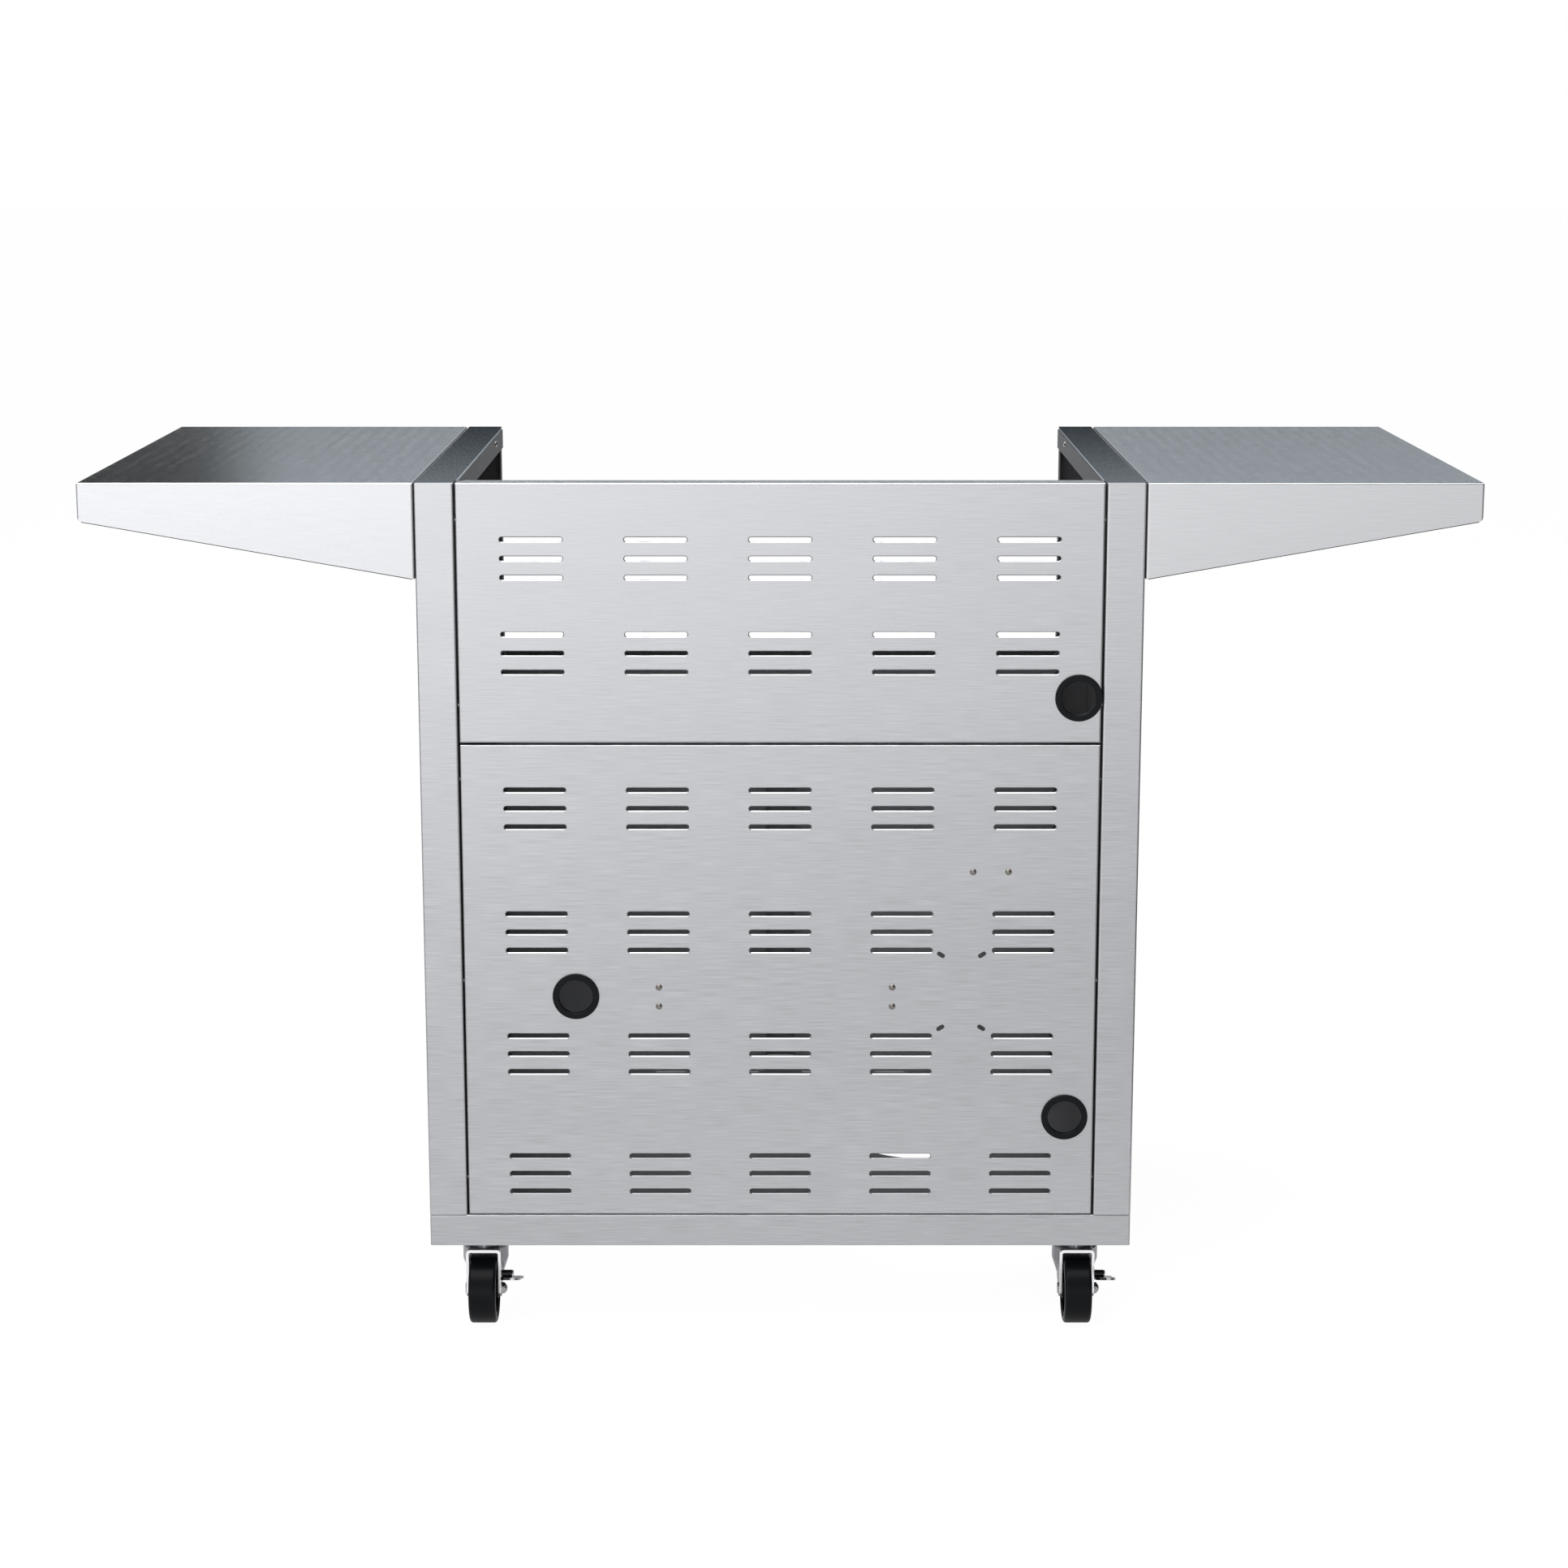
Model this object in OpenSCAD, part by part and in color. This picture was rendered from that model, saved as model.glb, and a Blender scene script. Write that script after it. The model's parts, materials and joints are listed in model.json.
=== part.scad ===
// Stainless steel cart for a drop-in gas grill: a two-door cabinet on four braked casters,
// with a tapered shelf on each side and an open bay on top.
// The doors face -Y and the slotted back panels face +Y. The floor is at Z 0, and the
// origin lies on it under the middle of the whole footprint.

/* [Cabinet] */
// Width across the two side panels
body_w = 762; // [680:2:1000]
// Depth from the front posts to the back panels
body_d = 607; // [560:1:760]
// Height from the lower edge of the skirt to the top rails
body_h = 833; // [760:1:960]
// Thickness of the stainless sheet
sheet = 1.2; // [0.9:0.1:1.6]
// Outside radius of the folds in the sheet
bend = 2.4; // [2:0.1:4]
// Height of the skirt round the base pan
skirt_h = 35; // [32:1:50]

/* [Side panels] */
// Width of the upright flange beside the back panels and beside the doors
strip_w = 41; // [38:1:60]
// Depth of the inward return on each upright flange
strip_return = 20; // [18:1:24]
// Width by which the top rail covers more than the upright flange
rail_over = 3.5; // [2.5:0.5:20]
// Height of the lip under the inner edge of the top rail
rail_lip = 23; // [18:1:30]
// Width of the flange that stands on the base pan
foot_flange = 20; // [16:1:30]

/* [Back panels] */
// Gap between the back panels and the flanges beside them
panel_gap = 1.5; // [1:0.1:2]
// Drop from the top rails to the seam between the two back panels
seam_drop = 276.3; // [268:0.1:300]
// Width of the seam
seam_gap = 1.7; // [1:0.1:2]
// Gap between the lower back panel and the base pan
base_gap = 0.4; // [0.2:0.1:1]
// Depth of the folded edges of a back panel
panel_return = 24; // [20:1:28]

/* [Vent slots] */
// Length of a slot in the back panels
slot_l = 65.5; // [40:0.5:90]
// Width of a slot in the back panels
slot_w = 4.8; // [3:0.1:7]
// Width of the bevel round the outside of a slot
slot_bevel = 0.9; // [0.4:0.1:1]
// Columns of slots
slot_columns = 5; // [3:2:5]
// Distance from one column to the next
slot_column_pitch = 130; // [110:1:134]
// Rows in each group
slot_rows = 3; // [1:1:3]
// Distance from one row to the next
slot_row_pitch = 20; // [14:1:22]
// Drop from the top of the upper panel to its first row
upper_first_drop = 59.4; // [45:0.1:70]
// Distance between the groups of the upper panel
upper_group_pitch = 100; // [85:1:110]
// Drop from the seam to the first row of the lower panel
lower_first_drop = 49.8; // [40:0.1:60]
// Distance between the groups of the lower panel
lower_group_pitch = 135; // [120:1:138]

/* [Hose ports] */
// Radius of the passage through a grommet
port_r = 18.3; // [14:0.1:18.5]
// Radius of the flange on the outside of a grommet
grommet_r = 25; // [24:0.5:30]
// Clearance between the upper grommet and the bend at the edge of its panel
upper_port_clear = 0.1; // [0.1:0.1:12]
// Rise of the upper port over the seam
upper_port_rise = 49.3; // [44:0.1:56]
// Distance of the middle port from the side edge of its panel
middle_port_edge = 119.5; // [114:0.5:140]
// Drop of the middle port from the seam
middle_port_drop = 275.7; // [264:0.1:284]
// Distance of the lower port from the side edge of its panel
lower_port_edge = 31.5; // [24:0.5:40]
// Rise of the lower port over the base pan
lower_port_rise = 111; // [98:1:120]

/* [Shelves] */
// Reach of a side shelf from the cabinet
shelf_w = 350; // [250:1:420]
// Height of the shelf at its free end
shelf_outer_h = 40; // [32:1:60]
// Height of the shelf beside the cabinet
shelf_inner_h = 101; // [96:1:130]
// Gap between the shelf and the cabinet
shelf_gap = 0.8; // [0.4:0.1:0.9]
// Width of the inward lip under the edges of the shelf
shelf_lip = 12; // [8:1:20]

/* [Front] */
// Drop from the top rails to the rail above the doors
front_drop = 269; // [250:1:300]
// Height of the rail above the doors
front_rail_h = 40; // [32:1:60]
// Width of the post between the doors
post_w = 37; // [34:1:60]
// Depth of the rail and of the post
front_depth = 25; // [22:1:35]

/* [Doors] */
// Thickness of a door
door_t = 20; // [18:1:26]
// Gap between a closed door and the posts behind it
door_gap = 4; // [3.5:0.1:6]
// Gap between the two doors
centre_gap = 3; // [2:0.5:6]
// Length of the bar handle
handle_l = 320; // [180:5:420]
// Diameter of the bar handle
handle_d = 16; // [12:0.5:20]
// Clear space for the fingers between the handle and the door
handle_clear = 26; // [22:1:40]
// Distance of the handle from the free edge of the door
handle_edge = 32; // [24:1:60]

/* [Casters] */
// Diameter of a wheel
wheel_d = 76; // [70:1:77]
// Width of a wheel
wheel_w = 29.6; // [24:0.1:31]
// Height of a caster from the floor to the top of its plate
caster_h = 101.6; // [101:0.1:110]
// Distance of the swivel axis from the two nearest faces of the cabinet
caster_inset = 55; // [52:1:70]
// Distance from the swivel axis back to the axle
trail = 25; // [20:1:28]
// Outside width of the fork
fork_w = 38.2; // [37:0.1:42]
// Thickness of the fork
fork_sheet = 3; // [2:0.1:3]
// Side of the square top plate
plate_w = 68; // [64:1:70]
// Distance between the bolts of the top plate
plate_pitch = 50; // [46:1:52]
// Length of the brake pedal
pedal_l = 65; // [50:1:68]
// Reach of the brake pedal beside the fork
pedal_w = 22; // [16:1:28]
// Slope of the brake pedal when it is released
pedal_tilt = 18; // [10:1:18]

/* [Gas cylinder] */
// Radius of the hole in the floor for the foot ring of the cylinder
cylinder_hole_r = 105; // [90:1:110]
// Distance of the hole from the middle of the cart
cylinder_x = 177; // [150:1:190]
// Distance of the hole from the back panels
cylinder_y = 295; // [260:1:310]

/* [Hidden] */
CORNERS = ["rear_left", "rear_right", "front_left", "front_right"];
CASTER_PIECES = ["caster_plate", "fork", "axle", "wheel_core", "tread", "brake_pedal"];
CABINET = [
    "left_side_panel", "right_side_panel", "upper_back_panel", "lower_back_panel",
    "base_pan", "caster_mounts", "front_rail", "centre_post", "left_shelf", "right_shelf",
    "shelf_bolts", "upper_grommet", "middle_grommet", "lower_grommet", "guard_bar",
    "hose_hook", "back_screws", "rail_screws", "panel_screws", "frame_screws",
    "door_brackets", "bracket_screws", "door_magnets", "door_bumpers", "caster_bolts"
];
DOORS = [
    "left_door_skin", "left_door_liner", "left_door_handle", "left_door_pins",
    "right_door_skin", "right_door_liner", "right_door_handle", "right_door_pins"
];
$fn = 64;

// Overrun of every cut past the face that it opens
cut = 1;
// Clearance between parts that are fixed in each other
fit = 0.1;
// Radial clearance of everything that turns on a pin
running = 0.07;

// Hardware
screw_r = 2;
screw_head_r = 3.5;
screw_head_h = 2.4;
screw_dome_r = 4.2;
cross_l = 4.2;
cross_w = 0.9;
cross_depth = 1.2;
nut_r = 3.8;
nut_h = 2.6;
bolt_r = 3;
bolt_head_r = 5;
bolt_head_h = 3.4;
bolt_nut_h = 4.6;

// Levels and planes of the cabinet
mount_rise = 3.6;
half_w = body_w / 2;
skirt_z = caster_h - mount_rise;
base_z = skirt_z + skirt_h;
top_z = skirt_z + body_h;
seam_z = top_z - seam_drop;
handle_reach = handle_clear + handle_d;
door_reach = door_gap + door_t + handle_reach;
wheel_overhang = wheel_d / 2 + trail - caster_inset;
back_y = (body_d + door_reach - wheel_overhang) / 2;
front_y = back_y - body_d;
strip_x = half_w - strip_w;
panel_w = 2 * (strip_x - panel_gap);
rail_x = strip_x - rail_over;
rail_notch = panel_return + panel_gap;

middle_y = (front_y + back_y) / 2;
slot_margin = 15;
return_relief = 14;
foot_screw_shares = [0.18, 0.5, 0.82];

// Grommets
neck_t = 2.6;
neck_fit = 0.1;
inner_lip = 0.6;
inner_lip_t = 2;
flange_t = 2.6;
mouth_bevel = 0.7;
port_hole_r = port_r + neck_t + neck_fit;
grommet_lip_r = port_hole_r + inner_lip;

// Screws that join the panels
panel_screw_depth = 11;
panel_screw_inset = 40;
rail_screw_drop = 8;
rail_screw_front = 130;
rail_screw_r = 1.9;

// Pieces screwed behind the lower back panel, seen from behind, with the drop from the seam
guard_x = -5;
guard_span = 250;
guard_fall = 276.2;
guard_drop = seam_drop + guard_fall;
guard_screw_pitch = 21;
guard_reach = 110;
guard_rod_r = 4;
guard_bend_r = 22;
guard_foot_w = 24;
guard_foot_h = 44;
guard_foot_t = 2;
hook_edge = 114.4;
hook_x = panel_w / 2 - hook_edge;
hook_fall = 138.7;
hook_drop = seam_drop + hook_fall;
hook_screw_pitch = 37.6;
hook_w = 54;
hook_h = 20;
hook_t = 2;
hook_tongue_w = 16;
hook_reach = 26;
hook_tip = 14;
tie_slot_l = 9.4;
tie_slot_w = 4.8;
tie_slot_tilt = 32;
tie_slot_edge = 144.5;
tie_slot_x = panel_w / 2 - tie_slot_edge;
tie_slot_fall = 270.2;
tie_slot_drop = seam_drop + tie_slot_fall;
tie_slot_span = 44;
tie_slot_rise = 81;

// Base pan
skirt_lip = 15;
vent_l = 38;
vent_w = 6;
vent_columns = 6;
vent_pitch = 91;
vent_inset = 70;
collar_h = 6;
floor_z = base_z - sheet;
mount_w = 74;
mount_t = 2;
mount_bend = 3;

// Rail, post and doors
front_z = top_z - front_drop;
front_rail_z = front_z - front_rail_h;
rail_screw_inset = 10;
front_screw_depth = 12;
door_reveal = 6;
door_lap = 4;
door_z = base_z - door_lap;
door_top_z = front_z - door_reveal;
door_w = half_w - centre_gap / 2;
door_h = door_top_z - door_z;
door_face_y = front_y - door_gap - door_t;
liner_depth = 16;
pin_r = 4;
pin_edge = 9;
pin_back = 10;
pin_x = half_w - pin_edge;
pin_y = front_y - door_gap - pin_back;
pin_inside = 12;
pin_collar_clear = 0.3;
pin_collar_r = pin_edge - sheet - fit - bend - pin_collar_clear;
pin_collar_h = 3;
washer_r = 6.5;
washer_h = 0.5;
bracket_t = 2;
bracket_gap = 0.6;
bracket_w = 24;
bracket_leg = 25;
bracket_nose = 7;
bracket_screw_pitch = 12;
pin_tip = 1.4;
stud_r = 5;
stud_pitch_share = 0.8;
handle_chamfer = 1.2;
magnet_w = 12;
magnet_h = 40;
magnet_drop = 40;
magnet_x = 10;
bumper_r = 5;
bumper_x = 30;
bumper_rise = 42;
bumper_squeeze = 0.4;

// Shelf bolts
shelf_bolt_inset = 60;
shelf_bolt_drops = [32, 78];
shelf_corner_r = 5;
shelf_x = half_w + shelf_gap;

// Casters
wheel_r = wheel_d / 2;
axle_r = 4;
axle_nut_r = 6.5;
axle_nut_h = 6.3;
nut_flat_share = 0.55;
axle_head_h = 1.4;
crown_gap = 5.4;
fork_top_z = wheel_d + crown_gap + fork_sheet;
fork_corner_r = 4.6;
fork_nose = 8;
fork_foot_r = 9;
dome_r = 25;
dome_drop = 18.4;
dome_end_rise = 6;
dome_tuck = 1.2;
race_r = 20;
race_h = 2;
race_gap = 0.4;
cup_r = 21;
cup_flare = 2;
kingpin_r = 5;
kingpin_head_r = 8;
kingpin_head_h = 2.5;
kingpin_gap = 0.3;
plate_t = 2.6;
plate_corner_r = 8;
tread_t = 7;
shoulder_r = 3.4;
hub_r = 11;
web_t = 12;
rim_t = 4;
rim_step = 1;
hub_gap = 0.3;
pivot_lead = 4;
pivot_rise = 14;
pivot_y = trail - pivot_lead;
pivot_z = wheel_r + pivot_rise;
pivot_r = 3.4;
boss_r = 5.2;
boss_l = 11;
pedal_gap = 0.3;
pivot_head_r = 4.8;
pivot_head_h = 1.2;
pedal_t = 2.5;
pedal_lift = 2.5;
pedal_side_gap = 0.6;
pedal_far_step = 7.4;
pedal_waist = 7;
pedal_corner_r = 7;

// Flat outlines

// Rectangle from the origin with four round corners
module round_rect(w, h, r) {
    translate([r, 0]) square([w - 2 * r, h]);
    translate([0, r]) square([w, h - 2 * r]);
    for (x = [r, w - r], y = [r, h - r]) translate([x, y]) circle(r);
}

// Rectangle on the X axis, centred on Y, with its two upper corners round
module arch_rect(w, h, r) {
    translate([-w / 2, 0]) square([w, h - r]);
    translate([r - w / 2, 0]) square([w - 2 * r, h]);
    for (x = [r - w / 2, w / 2 - r]) translate([x, h - r]) circle(r);
}

// Slot with round ends, centred on the origin
module stadium(l, w) {
    square([l - w, w], center = true);
    for (side = [-1, 1]) translate([side * (l - w) / 2, 0]) circle(w / 2);
}

// Solids in common use

// Block on the floor whose upright edges and top edges are round
module soft_block(w, d, h, r) {
    intersection() {
        translate([-w / 2, -d / 2]) linear_extrude(h) round_rect(w, d, r);
        translate([0, d / 2, 0]) rotate([90, 0, 0]) linear_extrude(d) arch_rect(w, h, r);
        translate([-w / 2, 0, 0]) rotate([90, 0, 90]) linear_extrude(w) arch_rect(d, h, r);
    }
}

// Folded sheet pan that stands upside down: its face is on top and its edges point down
module tray(w, d, h) {
    difference() {
        soft_block(w, d, h, bend);
        translate([0, 0, -cut]) soft_block(w - 2 * sheet, d - 2 * sheet, h - sheet + cut, bend - sheet);
    }
}

// The tray with its face turned to the back, or to the front
module back_tray(w, h, d) { rotate([-90, 0, 0]) tray(w, h, d); }
module front_tray(w, h, d) { rotate([90, 0, 0]) tray(w, h, d); }

// Places a flat drawing on the back of the cart, as seen from behind, and extrudes it outward
module on_back() {
    translate([0, back_y, top_z]) rotate([90, 0, 180]) children();
}

// Left and right copies
module on_side(side) { mirror([side < 0 ? 1 : 0, 0, 0]) children(); }

// Pan-head screw with a cross recess, head upward, and a nut at the far side of its grip
module screw(grip, head_r = screw_head_r, r = screw_r) {
    difference() {
        intersection() {
            cylinder(h = screw_head_h, r = head_r);
            translate([0, 0, screw_head_h - screw_dome_r]) sphere(screw_dome_r);
        }
        for (turn = [0, 90]) rotate(turn) translate([-cross_l / 2, -cross_w / 2, screw_head_h - cross_depth])
            cube([cross_l, cross_w, cross_depth + cut]);
    }
    translate([0, 0, -grip - nut_h - r]) cylinder(h = grip + nut_h + r, r = r);
    translate([0, 0, -grip - nut_h]) cylinder(h = nut_h, r = nut_r, $fn = 6);
}

// Hexagon bolt, head upward, and a nut at the far side of its grip
module bolt(grip) {
    cylinder(h = bolt_head_h, r = bolt_head_r, $fn = 6);
    shank = grip + bolt_nut_h + bolt_r / 2;
    translate([0, 0, -shank]) cylinder(h = shank, r = bolt_r);
    translate([0, 0, -grip - bolt_nut_h]) cylinder(h = bolt_nut_h, r = bolt_head_r, $fn = 6);
}

// Clearance hole for a screw or bolt along Z
module hole(r, depth = cut) { translate([0, 0, -depth]) cylinder(h = 2 * depth, r = r + fit); }

// Hole along X, centred on the plane that it pierces
module hole_x(r, depth = cut) { rotate([0, 90, 0]) hole(r, depth); }

// Hole along Y, centred on the plane that it pierces
module hole_y(r, depth = cut) { rotate([90, 0, 0]) hole(r, depth); }

// Places shared by the pieces that are fastened to each other

panel_screw_levels = [
    top_z - panel_screw_inset,
    seam_z + panel_screw_inset,
    seam_z - panel_screw_inset,
    (seam_z + base_z) / 2,
    base_z + panel_screw_inset
];
foot_screw_places = [for (share = foot_screw_shares) front_y + share * body_d];
front_screw_levels = [front_rail_z + rail_screw_inset, front_z - rail_screw_inset];
shelf_bolt_places = [front_y + shelf_bolt_inset, back_y - shelf_bolt_inset];
bracket_leaf_levels = [door_z - bracket_gap - bracket_t, door_top_z + bracket_gap];
bracket_screw_levels = [
    bracket_leaf_levels[0] + bracket_t - bracket_leg / 2,
    bracket_leaf_levels[1] + bracket_leg / 2
];
bracket_screw_places = [for (side = [-1, 1]) half_w - bracket_w / 2 + side * bracket_screw_pitch / 2];

// Two screws of each vertical pair and of the horizontal pair, as [x, drop] seen from behind
guard_screw_places = [for (x = [-1, 1], y = [-1, 1])
    [guard_x + x * guard_span / 2, guard_drop + y * guard_screw_pitch / 2]];
hook_screw_places = [for (x = [-1, 1]) [hook_x + x * hook_screw_pitch / 2, hook_drop]];

// Outline of the whole cabinet, with its outer upright edges and its top edges round
module cabinet_outline() {
    intersection() {
        translate([-half_w, front_y, 0]) linear_extrude(top_z) round_rect(body_w, body_d, bend);
        translate([0, back_y, 0]) rotate([90, 0, 0]) linear_extrude(body_d) arch_rect(body_w, top_z, bend);
    }
}

// Side panels

// Outer wall with the upright flanges in front and behind, and their returns
module side_walls() {
    translate([0, 0, base_z]) linear_extrude(top_z - base_z) difference() {
        translate([strip_x, front_y]) round_rect(strip_w, body_d, bend);
        translate([strip_x + sheet, front_y + sheet])
            round_rect(strip_w - 2 * sheet, body_d - 2 * sheet, bend - sheet);
        translate([strip_x - cut, front_y + strip_return])
            square([bend + cut, body_d - 2 * strip_return]);
    }
}

// Top rail with its lip, notched at both ends beside the flanges
module top_rail() {
    width = half_w - rail_x;
    difference() {
        translate([half_w - width / 2, back_y, top_z - rail_lip]) rotate([90, 0, 0])
            linear_extrude(body_d) difference() {
                arch_rect(width, rail_lip, bend);
                translate([0, -cut]) arch_rect(width - 2 * sheet, rail_lip - sheet + cut, bend - sheet);
            }
        for (y = [back_y - rail_notch, front_y - cut])
            translate([rail_x - cut, y, top_z - rail_lip - cut])
                cube([rail_over + cut, rail_notch + cut, rail_lip + 2 * cut]);
    }
}

module side_panel(side) {
    color("silver") on_side(side) difference() {
        intersection() {
            union() {
                side_walls();
                top_rail();
                translate([half_w - foot_flange, front_y, base_z]) cube([foot_flange, body_d, sheet]);
            }
            cabinet_outline();
        }
        for (z = panel_screw_levels)
            translate([strip_x, back_y - panel_screw_depth, z]) hole_x(screw_r, bend);
        for (z = front_screw_levels)
            translate([strip_x, front_y + front_screw_depth, z]) hole_x(screw_r, bend);
        for (y = shelf_bolt_places, drop = shelf_bolt_drops)
            translate([half_w, y, top_z - drop]) hole_x(bolt_r, bend);
        for (y = foot_screw_places) translate([half_w - foot_flange / 2, y, base_z]) hole(screw_r, bend);
        for (x = bracket_screw_places)
            translate([x, front_y, bracket_screw_levels[1]]) hole_y(screw_r, bend);
        translate([rail_x, front_y + rail_screw_front, top_z - rail_screw_drop]) hole_x(rail_screw_r, bend);
    }
}

module left_side_panel() { side_panel(-1); }
module right_side_panel() { side_panel(1); }

// Back panels, drawn as seen from behind

// One slot through the face of a back panel, with a bevel on the outside
module slot() {
    outline = [
        [0, -sheet - cut],
        [slot_w / 2, -sheet - cut],
        [slot_w / 2, -slot_bevel],
        [slot_w / 2 + slot_bevel + cut, cut],
        [0, cut]
    ];
    for (side = [0, 1]) mirror([side, 0, 0]) {
        translate([(slot_l - slot_w) / 2, 0, 0]) rotate(-90) rotate_extrude(angle = 180) polygon(outline);
        rotate([90, 0, 90]) linear_extrude((slot_l - slot_w) / 2) {
            polygon(outline);
            mirror([1, 0]) polygon(outline);
        }
    }
}

// Groups of slots under a level that lies a drop below the top rails
module slots(level_drop, first_drop, group_pitch, panel_h) {
    group_h = (slot_rows - 1) * slot_row_pitch;
    groups = floor((panel_h - first_drop - group_h - slot_margin) / group_pitch) + 1;
    for (column = [0 : slot_columns - 1], group = [0 : groups - 1], row = [0 : slot_rows - 1])
        translate([
            (column - (slot_columns - 1) / 2) * slot_column_pitch,
            -(level_drop + first_drop + group * group_pitch + row * slot_row_pitch),
            0
        ]) slot();
}

// Four small slots round a middle point, turned like the strokes of a letter X
module tie_slots() {
    for (side = [-1, 1], rise = [-1, 1])
        translate([tie_slot_x + side * tie_slot_span / 2, -tie_slot_drop + rise * tie_slot_rise / 2])
            rotate(side * rise * tie_slot_tilt) stadium(tie_slot_l, tie_slot_w);
}

// Opens a flat drawing through the face of a back panel
module through_back() {
    on_back() translate([0, 0, -sheet - cut]) linear_extrude(sheet + 2 * cut) children();
}

upper_port = [panel_w / 2 - bend - grommet_lip_r - upper_port_clear, seam_drop - upper_port_rise];
middle_port = [middle_port_edge - panel_w / 2, seam_drop + middle_port_drop];
lower_port = [panel_w / 2 - lower_port_edge, top_z - base_z - lower_port_rise];

module port_hole(port) { translate([port.x, -port.y]) circle(port_hole_r); }

module side_return_holes(levels) {
    for (side = [-1, 1], z = levels)
        translate([side * panel_w / 2, back_y - panel_screw_depth, z]) hole_x(screw_r, bend);
}

module upper_back_panel() {
    panel_h = seam_drop - seam_gap / 2;
    color("gainsboro") difference() {
        translate([0, back_y - panel_return, top_z - panel_h / 2])
            back_tray(panel_w, panel_h, panel_return);
        on_back() slots(0, upper_first_drop, upper_group_pitch, panel_h);
        through_back() port_hole(upper_port);
        side_return_holes([panel_screw_levels[0], panel_screw_levels[1]]);
        // Relief at both ends of the return along the top
        for (side = [-1, 1]) on_side(side)
            translate([panel_w / 2, back_y - panel_return, top_z - bend]) rotate(45)
                cube([return_relief, return_relief, 2 * bend], center = true);
    }
}

module lower_back_panel() {
    panel_h = seam_z - seam_gap / 2 - base_z - base_gap;
    color("gainsboro") difference() {
        translate([0, back_y - panel_return, base_z + base_gap + panel_h / 2])
            back_tray(panel_w, panel_h, panel_return);
        on_back() slots(seam_drop + seam_gap / 2, lower_first_drop - seam_gap / 2, lower_group_pitch, panel_h);
        through_back() {
            port_hole(middle_port);
            port_hole(lower_port);
            tie_slots();
            for (place = concat(guard_screw_places, hook_screw_places))
                translate([place.x, -place.y]) circle(screw_r + fit);
        }
        side_return_holes([panel_screw_levels[2], panel_screw_levels[3], panel_screw_levels[4]]);
    }
}

// Rubber ring that lines a hose port, with a lip on each side of the sheet
module grommet(port) {
    color("black") on_back() translate([port.x, -port.y, 0]) rotate_extrude() difference() {
        union() {
            square([grommet_r - flange_t / 2, flange_t]);
            translate([grommet_r - flange_t / 2, flange_t / 2]) circle(flange_t / 2);
            translate([0, -sheet - neck_fit]) square([port_hole_r - neck_fit, sheet + neck_fit + flange_t]);
            translate([0, -sheet - neck_fit - inner_lip_t]) square([grommet_lip_r, inner_lip_t]);
        }
        translate([-cut, -sheet - inner_lip_t - cut])
            square([port_r + cut, sheet + inner_lip_t + flange_t + 2 * cut]);
        polygon([
            [port_r - cut, flange_t - mouth_bevel - cut],
            [port_r + mouth_bevel + cut, flange_t + cut],
            [port_r - cut, flange_t + cut]
        ]);
    }
}

module upper_grommet() { grommet(upper_port); }
module middle_grommet() { grommet(middle_port); }
module lower_grommet() { grommet(lower_port); }

// Bar that keeps the gas cylinder off the back panel: a bent rod on two screwed feet
module guard_bar() {
    foot_back = -sheet - guard_foot_t;
    straight = guard_reach - guard_bend_r;
    color("lightgray") on_back() translate([guard_x, -guard_drop, 0]) {
        difference() {
            for (side = [-1, 1])
                translate([side * guard_span / 2 - guard_foot_w / 2, -guard_foot_h / 2, foot_back])
                    cube([guard_foot_w, guard_foot_h, guard_foot_t]);
            for (place = guard_screw_places) translate([place.x - guard_x, guard_drop - place.y, -sheet])
                hole(screw_r, guard_foot_t + cut);
        }
        for (side = [-1, 1]) mirror([side < 0 ? 1 : 0, 0, 0]) {
            translate([guard_span / 2, 0, foot_back - straight]) cylinder(h = straight, r = guard_rod_r);
            translate([guard_span / 2 - guard_bend_r, 0, foot_back - straight]) rotate([-90, 0, 0])
                rotate_extrude(angle = 90) translate([guard_bend_r, 0]) circle(guard_rod_r);
        }
        translate([guard_bend_r - guard_span / 2, 0, foot_back - guard_reach]) rotate([0, 90, 0])
            cylinder(h = guard_span - 2 * guard_bend_r, r = guard_rod_r);
    }
}

// Hook behind the lower back panel that carries the hose and its regulator
module hose_hook() {
    color("lightgray") on_back() translate([hook_x, -hook_drop, -sheet - hook_t]) difference() {
        union() {
            translate([-hook_w / 2, -hook_h / 2, 0]) cube([hook_w, hook_h, hook_t]);
            translate([-hook_tongue_w / 2, -hook_h / 2, -hook_reach]) {
                cube([hook_tongue_w, hook_t, hook_reach + hook_t]);
                cube([hook_tongue_w, hook_tip, hook_t]);
            }
        }
        for (side = [-1, 1]) translate([side * hook_screw_pitch / 2, 0, 0]) hole(screw_r, hook_t + cut);
    }
}

// Base

// Round hole that the foot ring of the gas cylinder stands in
module cylinder_well(r, h) {
    translate([-cylinder_x, back_y - cylinder_y, floor_z - h]) cylinder(h = h + sheet + cut, r = r);
}

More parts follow.
